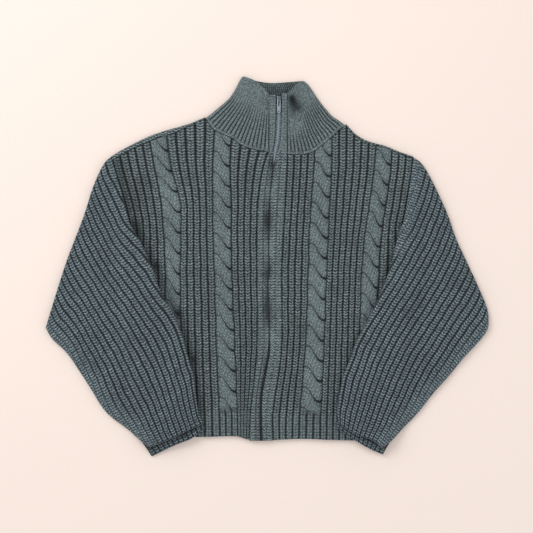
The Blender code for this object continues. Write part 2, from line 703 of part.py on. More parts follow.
def pull_tab(parts, cutters):
    """The pull tab: a plate with an eye whose bar passes through the slider's bridge."""
    x = zip_at(SLIDER_Y)
    bar_end = SLIDER_Y + TAB_WALL / 2
    plate = box((TAB_WIDTH, TAB_LENGTH, TAB_WALL), (x, bar_end - TAB_LENGTH / 2, HINGE_Z), 0.45)
    tab = piece("pull_tab", plate, parts, "metal")
    eye_top = bar_end - TAB_WALL
    eye = box((TAB_WIDTH - 2 * TAB_ARM, TAB_EYE_LENGTH, TAB_WALL * 3),
              (x, eye_top - TAB_EYE_LENGTH / 2, HINGE_Z))
    cut(tab, piece("pull_tab_eye", eye, cutters, "metal"))
    hole = bmesh.new()
    radius = TAB_HOLE_RADIUS * MM
    bmesh.ops.create_cone(hole, cap_ends=True, segments=16, radius1=radius, radius2=radius, depth=4 * MM)
    hole_y = bar_end - TAB_LENGTH + TAB_HOLE_INSET
    bmesh.ops.translate(hole, verts=hole.verts, vec=Vector((x, hole_y, HINGE_Z)) * MM)
    cut(tab, piece("pull_tab_hole", hole, cutters, "metal"))
    return tab


def collection(name):
    """A new collection in the scene."""
    made = bpy.data.collections.new(name)
    bpy.context.scene.collection.children.link(made)
    return made


def main():
    for obj in list(bpy.data.objects):
        bpy.data.objects.remove(obj)
    parts, cutters = collection("cardigan"), collection("cutters")
    groups = {"parts": parts, "cutters": cutters}
    piece("back", back(), parts)
    for side in ("right", "left"):
        piece(f"{side}_front", front(side), parts)
        sleeve(side, groups)
        piece(f"{side}_front_band", band(side), parts)
        outward = -1 if side == "right" else 1
        tape_top = SLIDER_Y - SLIDER_LENGTH / 2 - LAYER_GAP
        tape = strip(HEM[0][1] - 3, tape_top, FRONT_FLOOR, FRONT_FLOOR + TAPE_WALL,
                     outward * 0.3, outward * TAPE_WIDTH, 26)
        piece(f"{side}_zip_tape", tape, parts, "tape")
    piece("collar", collar(), parts)
    chain = strip(HEM[0][1] - 3, SLIDER_Y - SLIDER_LENGTH / 2 + 4, CHAIN_FLOOR, CHAIN_TOP,
                  -CHAIN_WIDTH / 2, CHAIN_WIDTH / 2, 30)
    piece("zip_chain", chain, parts, "metal")
    slider(parts, cutters)
    pull_tab(parts, cutters)


main()
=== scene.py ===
"""A cropped cardigan in ribs and cables, zipped up to its high collar, laid flat on its back on a pale table.

Sizes are in millimetres and are turned into metres where a mesh is made. X runs to the right of someone
looking down at the cardigan, so the wearer's right side is at -X, Y runs towards the collar and Z up.
Each knitted piece is a closed wall over a grid. Its place method turns the grid's pattern coordinates into
points on the cloth. With them it gives the painted shade, from how open each point lies, and where it is
along its own wales and rows of loops, for the yarn's finish.
"""

import logging
import math
from dataclasses import dataclass, replace
from enum import Enum
from typing import Callable, Sequence

import bmesh
import bpy
import numpy as np
from mathutils import Matrix, Vector


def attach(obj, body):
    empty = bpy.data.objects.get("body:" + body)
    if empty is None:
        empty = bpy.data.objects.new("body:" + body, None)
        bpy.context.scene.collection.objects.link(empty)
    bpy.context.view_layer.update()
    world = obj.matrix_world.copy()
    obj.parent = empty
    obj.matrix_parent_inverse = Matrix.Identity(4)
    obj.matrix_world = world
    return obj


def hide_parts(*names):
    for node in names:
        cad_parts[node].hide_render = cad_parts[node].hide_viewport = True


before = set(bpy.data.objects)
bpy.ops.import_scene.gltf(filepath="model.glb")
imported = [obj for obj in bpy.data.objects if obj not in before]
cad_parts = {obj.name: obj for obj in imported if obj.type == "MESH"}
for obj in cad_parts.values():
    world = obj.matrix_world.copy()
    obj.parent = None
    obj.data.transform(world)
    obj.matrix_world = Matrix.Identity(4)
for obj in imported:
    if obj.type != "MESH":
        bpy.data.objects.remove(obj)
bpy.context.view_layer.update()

MM = 0.001
LOG = logging.getLogger("cardigan")
Array = np.ndarray
Points = Sequence[tuple[float, float]]
Line = Callable[[Array], Array]
Lines = Sequence[tuple[float, float, float, float, float, float]]
Plan = Callable[[Array, Array], Array]
Finish = bpy.types.Material

# Heights from the table up, the layers' thicknesses, and half the width of the zip's teeth.
BACK_WALL = 3.0
LAYER_GAP = 0.3
FRONT_FLOOR = BACK_WALL + LAYER_GAP
FRONT_WALL = 2.4
SHOULDER_TOP = 7.0
COLLAR_WALL = 3.0
CHAIN_FLOOR = 4.2
CHAIN_TOP = 6.4
CHAIN_HALF = 3.9

# Sizes of the knitting and its seams.
RIB_HEIGHT = 1.9
SEAM_GAP = 0.6
HEM_HEIGHT = 41.0
HEM_Y = -268.0
# Heights near a front's ends, where the x of a column is first looked up.
ROUGH_TOP = 200.0
ROUGH_HEM = -264.0
SLIDER_Y = 258.0
# A distance that keeps a fold from being felt where there is none.
FAR_OFF = 1000

GUIDES = ("band", "inner_cable_near", "inner_cable_far", "outer_cable_near", "outer_cable_far", "edge")
BACK_NECKLINE = ((-97.5, 224), (-86, 213), (-50, 206), (10, 202), (60, 204), (104, 210), (119, 219))
HEM = ((-190, -264), (-97, -264), (-50, -263), (-32, -268), (-12, -270), (24, -268), (52, -267),
       (108, -269), (190, -270))
ZIP_LINE = ((-272, -11), (-230, -12), (-199, -11), (-164, -5), (-129, 1), (-83, 1), (-29, -1), (-5, 1),
            (41, 0), (103, 2), (142, 6), (160, 8), (181, 11), (196, 14), (235, 16), (275, 16))


class Side(Enum):
    """The wearer's right side lies at -X."""

    RIGHT = "right"
    LEFT = "left"

    @property
    def outward(self) -> int:
        """The sign of X away from the zip."""
        return -1 if self is Side.RIGHT else 1


# Where each piece's slow waver starts, so that no two are alike.
FRONT_WAVER = {Side.RIGHT: 0.7, Side.LEFT: 2.9}
SLEEVE_WAVER = {Side.RIGHT: 3.3, Side.LEFT: 6.4}


def smooth(value: Array) -> Array:
    """A soft step from 0 to 1."""
    value = np.clip(value, 0.0, 1.0)
    return value * value * (3 - 2 * value)


def rounded(distance: Array, radius: float) -> Array:
    """The height of a rounded edge, as a share, at a distance from it."""
    return np.sqrt(np.clip(1 - (1 - np.clip(distance / radius, 0.0, 1.0)) ** 2, 0.0, 1.0))


def bell(offset: Array, half: float) -> Array:
    """A soft swell of height 1, by the distance from its middle and its half width."""
    return np.exp(-((offset / half) ** 2))


def along_lines(x: Array, y: Array, lines: Lines) -> Array:
    """The sum of soft ridges or hollows along straight stretches.

    Args:
        x: The points' x.
        y: The points' y.
        lines: For each stretch its ends (x0, y0, x1, y1), its half width and its height.

    Returns:
        The sum at each point.
    """
    total = np.zeros_like(x)
    for x0, y0, x1, y1, half, height in lines:
        along = np.array((x1 - x0, y1 - y0))
        share = np.clip(((x - x0) * along[0] + (y - y0) * along[1]) / (along @ along), 0, 1)
        total += height * bell(np.hypot(x - x0 - share * along[0], y - y0 - share * along[1]), half)
    return total


def through(points: Points) -> Line:
    """The smooth line through (place, height) points, straight beyond its ends.

    Args:
        points: The points, in order of place.

    Returns:
        A function from places to heights.
    """
    places, heights = np.array(points, float).T
    before = np.concatenate([places[:1], places[:-1]])
    after = np.concatenate([places[1:], places[-1:]])
    low = np.concatenate([heights[:1], heights[:-1]])
    high = np.concatenate([heights[1:], heights[-1:]])
    slopes = (high - low) / (after - before)

    def line(at: Array) -> Array:
        """The line's heights.

        Args:
            at: The places.

        Returns:
            The height at each place.
        """
        at = np.asarray(at, float)
        inside = np.clip(at, places[0], places[-1])
        i = np.clip(np.searchsorted(places, inside) - 1, 0, len(places) - 2)
        width = places[i + 1] - places[i]
        share = (inside - places[i]) / width
        square, cube = share**2, share**3
        height = (
            heights[i] * (2 * cube - 3 * square + 1)
            + slopes[i] * width * (cube - 2 * square + share)
            + heights[i + 1] * (3 * square - 2 * cube)
            + slopes[i + 1] * width * (cube - square)
        )
        return height + (at - inside) * np.where(at < places[0], slopes[0], slopes[-1])

    return line


def path(points: Points) -> Line:
    """The smooth line through points in plan.

    Args:
        points: The points (x, y), in order.

    Returns:
        A function from a share of the line's length to (x, y).
    """
    spots = np.concatenate([[0], np.cumsum([math.dist(a, b) for a, b in zip(points, points[1:])])])
    spots /= spots[-1]
    across = through([(spot, point[0]) for spot, point in zip(spots, points)])
    along = through([(spot, point[1]) for spot, point in zip(spots, points)])
    return lambda share: np.stack([across(share), along(share)], axis=-1)


def patch(left: Line, right: Line, bottom: Line, top: Line) -> Plan:
    """The plan of a panel between four paths.

    Args:
        left: The path up its left side.
        right: The path up its right side.
        bottom: The path along its lower edge, from left to right.
        top: The path along its upper edge, from left to right.

    Returns:
        A function from u, left to right, and v, bottom to top, to (x, y).
    """
    zero, one = np.zeros(1), np.ones(1)
    corners = [[line(end)[0] for end in (zero, one)] for line in (left, right)]

    def plan(u: Array, v: Array) -> Array:
        """The points in plan.

        Args:
            u: The share from left to right.
            v: The share from bottom to top.

        Returns:
            The points (x, y).
        """
        u, v = np.broadcast_arrays(u, v)
        a, b = u[..., None], v[..., None]
        ruled = left(v) * (1 - a) + right(v) * a + bottom(u) * (1 - b) + top(u) * b
        square = corners[0][0] * (1 - a) * (1 - b) + corners[1][0] * a * (1 - b)
        return ruled - square - corners[0][1] * (1 - a) * b - corners[1][1] * a * b

    return plan


def zip_at(y: Array) -> Array:
    """The x of the zip's centre line."""
    return through(ZIP_LINE)(y)


def waver(x: Array, y: Array, size: float, turn: float) -> Array:
    """A slow uneven waver from about -1 to 1, as hand-laid cloth has.

    Args:
        x: The points' x.
        y: The points' y.
        size: The waver's length.
        turn: Where the waver starts, to tell one piece's from another's.

    Returns:
        The waver's height at each point.
    """
    a, b = x / size * 2 * math.pi, y / size * 2 * math.pi
    return (
        0.5 * np.sin(a * 0.83 + b * 0.41 + turn) * np.cos(b * 0.67 - turn * 1.7)
        + 0.3 * np.sin(a * 1.71 - b * 1.13 + turn * 2.3)
        + 0.2 * np.sin(b * 2.37 + a * 0.29 + turn * 3.1)
    )


@dataclass(frozen=True)
class Relief:
    """What the stitches add to a cloth's surface.

    Args:
        height: How far they stand out.
        light: The painted shade: how open each point lies, from 0 in a hole between stitches to 1 on top of a
            loop.
        wale: The place across, in wales or ribs.
        row: The place along, in rows of stitches, drawn out into a V across each wale.
        loops: How far the single loops show, from 0 to 1.
    """

    height: Array
    light: Array
    wale: Array
    row: Array
    loops: Array

    def mixed(self, other: "Relief", share: Array) -> "Relief":
        """This relief where share is 0, and the other where it is 1."""
        mix = [a + (b - a) * share for a, b in zip(vars(self).values(), vars(other).values())]
        return Relief(*mix)


@dataclass(frozen=True)
class Cloth:
    """Where a grid's points lie, and what the yarn's finish needs.

    Args:
        points: The points, in millimetres.
        light: The painted shade: how open each point lies, once folds, edges and painted shadows are counted.
        relief: The stitches.
    """

    points: Array
    light: Array
    relief: Relief


@dataclass(frozen=True)
class Stitches:
    """Knitted loops: two legs that lean together in each wale, one above another along it.

    Args:
        row: The height of a loop. The photograph doesn't resolve the real ones, and finer ones wouldn't show.
        lean: How far a leg climbs between the wale's middle and its edge, in rows.
        leg: How far the legs swell.
        split: How deep the line between the two legs is, and how dark the painted shade in it is.
        hole: How deep the holes in the valley between two ribs are.
        valley: How much light the painted shade leaves in the valley.
        loops: How far the single loops show, from 0 to 1.
        split_half: Half the width of the line between the legs, in ribs.
        edge_half: Half the width of the line between two plain wales, in wales.
        valley_end: How high a rib's side is where the valley ends, as a share.
        side_run: How much higher it is where the rib's top begins.
        roundness: The power that rounds a rib: lower is squarer.
    """

    row: float = 4.4
    lean: float = 0.72
    leg: float = 1.2
    split: float = 0.85
    hole: float = 0.9
    valley: float = 0.12
    loops: float = 1.0
    split_half: float = 0.11
    edge_half: float = 0.12
    valley_end: float = 0.26
    side_run: float = 0.55
    roundness: float = 0.55

    def _legs(self, across: Array, along: Array) -> tuple[Array, Array]:
        """The place in rows, drawn out into a V, and the swell of the legs, from -1 to 1."""
        row = along / self.row - self.lean * 2 * np.abs(across)
        return row, np.cos(2 * np.pi * row)

    def rib(self, turns: Array, along: Array, height: float) -> Relief:
        """A row of ribs with a deep valley between each two.

        Args:
            turns: The place across, in ribs.
            along: The place along the ribs, in millimetres.
            height: How far the ribs stand out.

        Returns:
            The ribs' relief.
        """
        across = turns - np.floor(turns) - 0.5
        ridge = np.abs(np.cos(np.pi * across))
        row, strand = self._legs(across, along)
        split = self.split * bell(across, self.split_half)
        # A hole sinks in the valley in each row, with painted shade in it, and between two holes a thread
        # crosses it, painted lighter. On the rib's top each leg gets a painted highlight and the line between
        # the legs painted shade.
        thread = 0.5 + 0.5 * np.cos(2 * np.pi * along / self.row)
        raised = smooth((ridge - self.valley_end) / self.side_run)
        light = self.valley * (0.2 + 2.2 * thread) * (1 - raised) + raised * (0.82 + 0.18 * strand)
        total = height * ridge**self.roundness + (0.5 * self.leg * strand - split) * raised
        total -= self.hole * (1 - raised) * (1 - thread)
        light = np.clip(light - 0.5 * split, 0, 1)
        return Relief(total, light, turns, row, np.full_like(row, self.loops))

    def plain(self, wales: Array, along: Array) -> Relief:
        """Smooth knitting: wale beside wale, with no valleys.

        Args:
            wales: The place across, in wales.
            along: The place along them, in millimetres.

        Returns:
            The knitting's relief.
        """
        across = wales - np.floor(wales) - 0.5
        row, strand = self._legs(across, along)
        edge = 0.4 * self.split * bell(np.abs(across) - 0.5, self.edge_half)
        height = 0.4 * self.leg * strand - edge
        # Painted shade along the edge between wales, and a painted highlight on each leg's swell.
        light = np.clip(0.8 + 0.12 * strand - edge, 0, 1)
        return Relief(height, light, wales, row, np.full_like(row, self.loops))


@dataclass
class WallGrid:
    """A closed wall in pattern space: a fine grid on top, a plain coarse one below, and a rim.

    Args:
        columns: The faces across the top.
        rows: The faces up the top.
        thin_columns: How many of the top's columns go over one of the underside's.
        thin_rows: The same for rows.
    """

    columns: int
    rows: int
    thin_columns: int = 8
    thin_rows: int = 20

    def _rim(self, bm: bmesh.types.BMesh, height: float) -> list[bmesh.types.BMEdge]:
        """The open edges of the grid at a height."""
        return [edge for edge in bm.edges if edge.is_boundary and abs(edge.verts[0].co.z - height) < 1e-6]

    def build(self) -> bmesh.types.BMesh:
        """Makes the wall.

        Returns:
            The wall, from 0 to 1 across, up and through.
        """
        bm = bmesh.new()
        coarse = (self.columns // self.thin_columns, self.rows // self.thin_rows)
        bmesh.ops.create_grid(bm, x_segments=coarse[0], y_segments=coarse[1], size=0.5,
                              matrix=Matrix.Translation((0.5, 0.5, 0)))
        # The coarse grid's rim gets as many points as the fine one's, so that the wall closes.
        for axis, thin in enumerate((self.thin_columns, self.thin_rows)):
            if thin > 1:
                edges = [edge for edge in self._rim(bm, 0.0)
                         if abs(edge.verts[0].co[axis] - edge.verts[1].co[axis]) > 1e-6]
                bmesh.ops.subdivide_edges(bm, edges=edges, cuts=thin - 1)
        bmesh.ops.create_grid(bm, x_segments=self.columns, y_segments=self.rows, size=0.5,
                              matrix=Matrix.Translation((0.5, 0.5, 1)))
        side = bmesh.ops.extrude_edge_only(bm, edges=self._rim(bm, 1.0))["geom"]
        lowered = [item for item in side if isinstance(item, bmesh.types.BMVert)]
        bmesh.ops.translate(bm, verts=lowered, vec=(0, 0, -1))
        rim = [vert for vert in bm.verts if vert.is_boundary and vert.co.z < 0.5]
        bmesh.ops.remove_doubles(bm, verts=rim, dist=1e-5)
        bmesh.ops.recalc_face_normals(bm, faces=bm.faces)
        return bm


def read_points(mesh: bpy.types.Mesh) -> Array:
    """The mesh's points.

    Args:
        mesh: The mesh.

    Returns:
        The points, one to a row.
    """
    points = np.empty(len(mesh.vertices) * 3, np.float32)
    mesh.vertices.foreach_get("co", points)
    return points.reshape(-1, 3).astype(float)


def face_outwards(mesh: bpy.types.Mesh) -> None:
    """Turns a closed mesh's faces round if they point inwards.

    Args:
        mesh: The mesh.
    """
    mesh.calc_loop_triangles()
    corners = np.empty(len(mesh.loop_triangles) * 3, np.int32)
    mesh.loop_triangles.foreach_get("vertices", corners)
    if np.linalg.det(read_points(mesh)[corners.reshape(-1, 3)]).sum() < 0:
        mesh.flip_normals()


def dress(name: str, mesh: bpy.types.Mesh, finish: Finish, node: str,
          body: str = "garment") -> bpy.types.Object:
    """Puts a finished mesh in the scene, over its CAD node and riding on its body.

    Args:
        name: The piece's name.
        mesh: Its mesh, in place.
        finish: Its material.
        node: The CAD node that it stands for.
        body: The CAD body that carries it.

    Returns:
        The object.
    """
    mesh.materials.clear()
    mesh.materials.append(finish)
    obj = bpy.data.objects.new(name, mesh)
    bpy.context.scene.collection.objects.link(obj)
    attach(obj, body)
    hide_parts(node)
    LOG.info("%s: %d faces", name, len(mesh.polygons))
    return obj


def knit(name: str, grid: WallGrid, place: Callable[[Array, Array, Array], Cloth]) -> bpy.types.Mesh:
    """Shapes a wall of knitting.

    Args:
        name: The mesh's name.
        grid: The wall in pattern space.
        place: Turns pattern coordinates into cloth.

    Returns:
        The mesh, with its attributes light and loops and its UV map of wales and rows.
    """
    bm = grid.build()
    mesh = bpy.data.meshes.new(name)
    bm.to_mesh(mesh)
    bm.free()
    u, v, w = read_points(mesh).T
    cloth = place(u, v, w > 0.5)
    mesh.vertices.foreach_set("co", (cloth.points * MM).astype(np.float32).ravel())
    for attribute, values in (("light", cloth.light), ("loops", cloth.relief.loops)):
        data = mesh.attributes.new(attribute, "FLOAT", "POINT").data
        data.foreach_set("value", values.astype(np.float32))
    corners = np.empty(len(mesh.loops), np.int32)
    mesh.loops.foreach_get("vertex_index", corners)
    wales = mesh.uv_layers.new(name="wales")
    pattern = np.stack([cloth.relief.wale, cloth.relief.row], -1)
    wales.data.foreach_set("uv", pattern[corners].astype(np.float32).ravel())
    mesh.update()
    face_outwards(mesh)
    mesh.shade_smooth()
    return mesh


def joined(name: str, meshes: Sequence[bpy.types.Mesh]) -> bpy.types.Mesh:
    """Joins meshes, with their attributes, and deletes them.

    Args:
        name: The new mesh's name.
        meshes: The meshes.

    Returns:
        The one mesh that holds them all.
    """
    bm = bmesh.new()
    for mesh in meshes:
        bm.from_mesh(mesh)
        bpy.data.meshes.remove(mesh)
    whole = bpy.data.meshes.new(name)
    bm.to_mesh(whole)
    bm.free()
    return whole


@dataclass(frozen=True)
class Cable:
    """A cable: rounded strands that cross on a lean, with plain stitches that follow them.

    Args:
        pitch: The height from one crossing to the next.
        lean: How far a crossing climbs from the cable's middle to its side, as a share of the pitch.
        hook: How far the crossings turn back at the sides.
        height: How far the strands stand out.
        groove_half: Half the width of the groove between two strands.
        groove_depth: Its depth.
        groove_shade: How dark the painted shade in it is, from 0 to 1.
        wales: The wales across a strand.
        stitches: Its stitches.
    """

    pitch: float = 31.8
    lean: float = 0.37
    hook: float = 0.62
    height: float = 3.3
    groove_half: float = 2.1
    groove_depth: float = 1.2
    groove_shade: float = 0.62
    wales: int = 5
    stitches: Stitches = Stitches(lean=0.6, leg=0.5, split=1.0, loops=0.4)

    def relief(self, across: Array, y: Array, shift: float) -> Relief:
        """Shapes the cable.

        Args:
            across: The place across, from -1 at -X to 1 at +X.
            y: The height up the panel.
            shift: Where the crossings start, as a share of their pitch.

        Returns:
            The cable's relief.
        """
        phase = y / self.pitch + self.lean * np.sin(across * np.pi * self.hook) + shift
        turn = phase - np.floor(phase)
        strand = np.sqrt(np.clip(1 - (2 * turn - 1) ** 2, 0, 1))
        groove = bell(np.minimum(turn, 1 - turn) * self.pitch, self.groove_half)
        side = 1 - np.abs(across) ** 5
        # Each crossing is deepest, and its painted shade darkest, at its lower end, where the front strand
        # dives under the next.
        depth = 0.12 + 0.88 * smooth((across + 0.35) / 1.2)
        knitted = self.stitches.plain(turn * self.wales, 17 * across - 8 * (turn - 0.5))
        height = self.height * (0.45 + 0.55 * strand) * side + knitted.height * smooth(side * 3)
        height -= self.groove_depth * groove * depth * np.sqrt(side)
        # Painted shade: darker at the cable's sides and between strands, lighter in each strand's middle, and
        # darkest in the grooves.
        light = knitted.light * (0.3 + 0.7 * smooth(side * 1.7)) * (0.68 + 0.34 * np.sin(np.pi * turn) ** 0.6)
        light = np.clip(light - self.groove_shade * groove * depth, 0, 1)
        return replace(knitted, height=height, light=light)


@dataclass
class FrontPanel:
    """A front: ribs and two cables between its band and its armhole, with the hem rib knitted in.

    Args:
        side: The wearer's side.
        guide_y: The heights at which the guide lines are given.
        guides: The x of each guide line at those heights. The stretches between them hold ribs or a cable.
        ribs: The ribs in each stretch, or 0 for a cable.
        cable_shift: Where the crossings start in a cable's stretch, as a share of their pitch.
        shoulder: The outline of the shoulder.
        neckline: The seam to the collar.
        roll: For each x, how far the back's shoulder edge rolls over the front.
        creases: Ridges and hollows.
        shadows: Where the cloth lies in shade.
        stitches: Its stitches.
        cable: Its cables.
        rib_columns: Where the grid has columns in a rib, closer together at its sides.
        cable_columns: The grid's columns in a cable.
        rows: The grid's rows.
        length: The flat length from the shoulder to the hem. Not used.
        spread: How much wider the knitting is when its ribs are drawn flat. Not used.
        hem_ribs_in_cable: The hem's ribs below a cable.
        hem_loops: How far single loops show in the hem, where the knitting is tighter.
        edge_radius: The radius of the panel's edges.
        deepest_hole: How deep the stitches may sink.
        deepest_fold: How deep the creases may sink.
        wales_apart: How many wales tell one stretch from the next in the yarn's pattern.
    """

    side: Side
    guides: dict[str, Points]
    guide_y: tuple[float, ...]
    ribs: tuple[int, ...]
    cable_shift: dict[int, float]
    shoulder: Points
    neckline: Points
    roll: Points
    creases: Lines = ()
    shadows: Lines = ()
    stitches: Stitches = Stitches()
    cable: Cable = Cable()
    rib_columns: tuple[float, ...] = (0, 0.09, 0.2, 0.36, 0.5, 0.64, 0.8, 0.91)
    cable_columns: int = 24
    rows: int = 460
    length: float = 480.0
    spread: float = 1.1
    hem_ribs_in_cable: int = 3
    hem_loops: float = 0.45
    edge_radius: float = 2.2
    deepest_hole: float = 1.2
    deepest_fold: float = 1.0
    wales_apart: int = 8

    def guide(self, name: str, y: Array) -> Array:
        """Where a guide line is at a height."""
        return through(list(zip(self.guide_y, self.guides[name])))(y)

    def _columns(self) -> Array:
        """Spaces the grid's columns, closer together at the valleys beside each rib.

        Returns:
            The columns, each as a stretch's number and a share of its width.
        """
        in_rib = np.array(self.rib_columns)
        stops = []
        for stretch, count in enumerate(self.ribs):
            if count:
                stops += [stretch + (rib + in_rib) / count for rib in range(count)]
            else:
                stops.append(np.linspace(stretch, stretch + 1, self.cable_columns, endpoint=False))
        return np.concatenate(stops + [[len(self.ribs)]])

    def _across(self, column: Array, y: Array) -> Array:
        """Where a column is at a height.

        Args:
            column: The columns.
            y: The heights.

        Returns:
            The x of each.
        """
        lines = np.stack([self.guide(name, y) for name in GUIDES])
        stretch = np.clip(column.astype(int), 0, len(GUIDES) - 2)
        spot = np.arange(len(column))
        near, far = lines[stretch, spot], lines[stretch + 1, spot]
        return near + (far - near) * (column - stretch)

    def _top(self, x: Array) -> Array:
        """Where the upper edge is: the shoulder seam, then the neckline.

        Args:
            x: The points' x.

        Returns:
            The y of the edge at each.
        """
        on_shoulder = x < self.neckline[0][0] if self.side is Side.RIGHT else x > self.neckline[-1][0]
        shoulder = through(self.shoulder)(x) - through(self.roll)(x) - SEAM_GAP
        return np.where(on_shoulder, shoulder, through(self.neckline)(x) - SEAM_GAP / 2)

    def _relief(self, column: Array, y: Array, above_hem: Array) -> Relief:
        """Knits the ribs and the cables.

        Args:
            column: The points' columns.
            y: Their heights, along the ribs.
            above_hem: How far they are above the hem's edge.

        Returns:
            The stitches' relief.
        """
        found = {name: np.zeros_like(column) for name in ("height", "light", "wale", "row", "loops")}
        for stretch, count in enumerate(self.ribs):
            here = (column >= stretch) & ((column < stretch + 1) | (stretch == len(self.ribs) - 1))
            share, at = column[here] - stretch, y[here]
            if count:
                part = self.stitches.rib(share * count, at, RIB_HEIGHT)
            else:
                cable = self.cable.relief((share * 2 - 1) * self.side.outward, at, self.cable_shift[stretch])
                over_hem = smooth((above_hem[here] - HEM_HEIGHT + 5) / 9)
                hem = self.stitches.rib(share * self.hem_ribs_in_cable, at, RIB_HEIGHT)
                part = hem.mixed(cable, over_hem)
            for name, values in vars(part).items():
                found[name][here] = values
        found["wale"] += np.floor(np.minimum(column, len(self.ribs) - 0.5)) * self.wales_apart
        found["loops"] *= self.hem_loops + (1 - self.hem_loops) * smooth((above_hem - HEM_HEIGHT + 6) / 8)
        return Relief(**found)

    def drape(self, x: Array, y: Array) -> Array:
        """The height that creases and swells add.

        Args:
            x: The points' x.
            y: The points' y.

        Returns:
            The height at each point.
        """
        turn = FRONT_WAVER[self.side]
        wavers = 0.7 * waver(x, y, 150, turn) + 0.35 * waver(x, y, 52, turn + 1.2)
        return wavers + along_lines(x, y, self.creases)

    def place(self, u: Array, v: Array, on_top: Array) -> Cloth:
        """Turns pattern coordinates into cloth.

        Args:
            u: The share from the band to the armhole.
            v: The share from the hem up.
            on_top: Whether each point is on the wall's upper face.

        Returns:
            The cloth.
        """
        stops = self._columns()
        column = np.interp(u, np.linspace(0, 1, len(stops)), stops)
        # The top edge leans, so the column's x there is found in two steps.
        top = self._top(self._across(column, np.full_like(u, ROUGH_TOP)))
        top = self._top(self._across(column, top))
        bottom = through(HEM)(self._across(column, np.full_like(u, ROUGH_HEM)))
        y = bottom + (top - bottom) * v
        x = self._across(column, y)
        inset = SEAM_GAP / 2 * ((column < 0.01).astype(float) - (column > stops[-1] - 0.01))
        # No rib runs quite straight, and no course quite level.
        sway = 0.7 * waver(x, y, 70, 5.2) + 0.45 * waver(x, y, 23, 2.6)
        x = x + self.side.outward * inset + sway * np.sin(np.pi * v) ** 0.5
        relief = self._relief(column, y + 0.8 * waver(x, y, 41, 4.4), y - bottom)
        ends = rounded(np.minimum(v, 1 - v) * (top - bottom) + 0.4, self.edge_radius)
        sides = np.minimum(np.abs(x - self.guide("edge", y)), np.abs(x - self.guide("band", y)))
        flanks = rounded(sides + 0.3, self.edge_radius)
        edges = np.minimum(ends, flanks)
        height = FRONT_WALL * (0.6 + 0.4 * edges) + np.maximum(self.drape(x, y), -self.deepest_fold) * edges
        height += np.maximum(relief.height, -self.deepest_hole) * ends * flanks
        z = FRONT_FLOOR + np.where(on_top, height, 0)
        # Painted shade: darker towards the top and bottom ends, and painted shadows along the listed lines.
        light = relief.light * (0.7 + 0.3 * ends) * (1 - along_lines(x, y, self.shadows))
        return Cloth(np.stack([x, y, z], -1), light, relief)

    def build(self, finish: Finish) -> bpy.types.Object:
        """Knits the front and puts it over its CAD node.

        Args:
            finish: Its yarn.

        Returns:
            The object.
        """
        name = f"{self.side.value}_front"
        mesh = knit(name, WallGrid(len(self._columns()) - 1, self.rows), self.place)
        obj = dress(f"{name}_knit", mesh, finish, name)
        width = abs(self.guide("edge", -100.0) - self.guide("band", -100.0))
        return obj


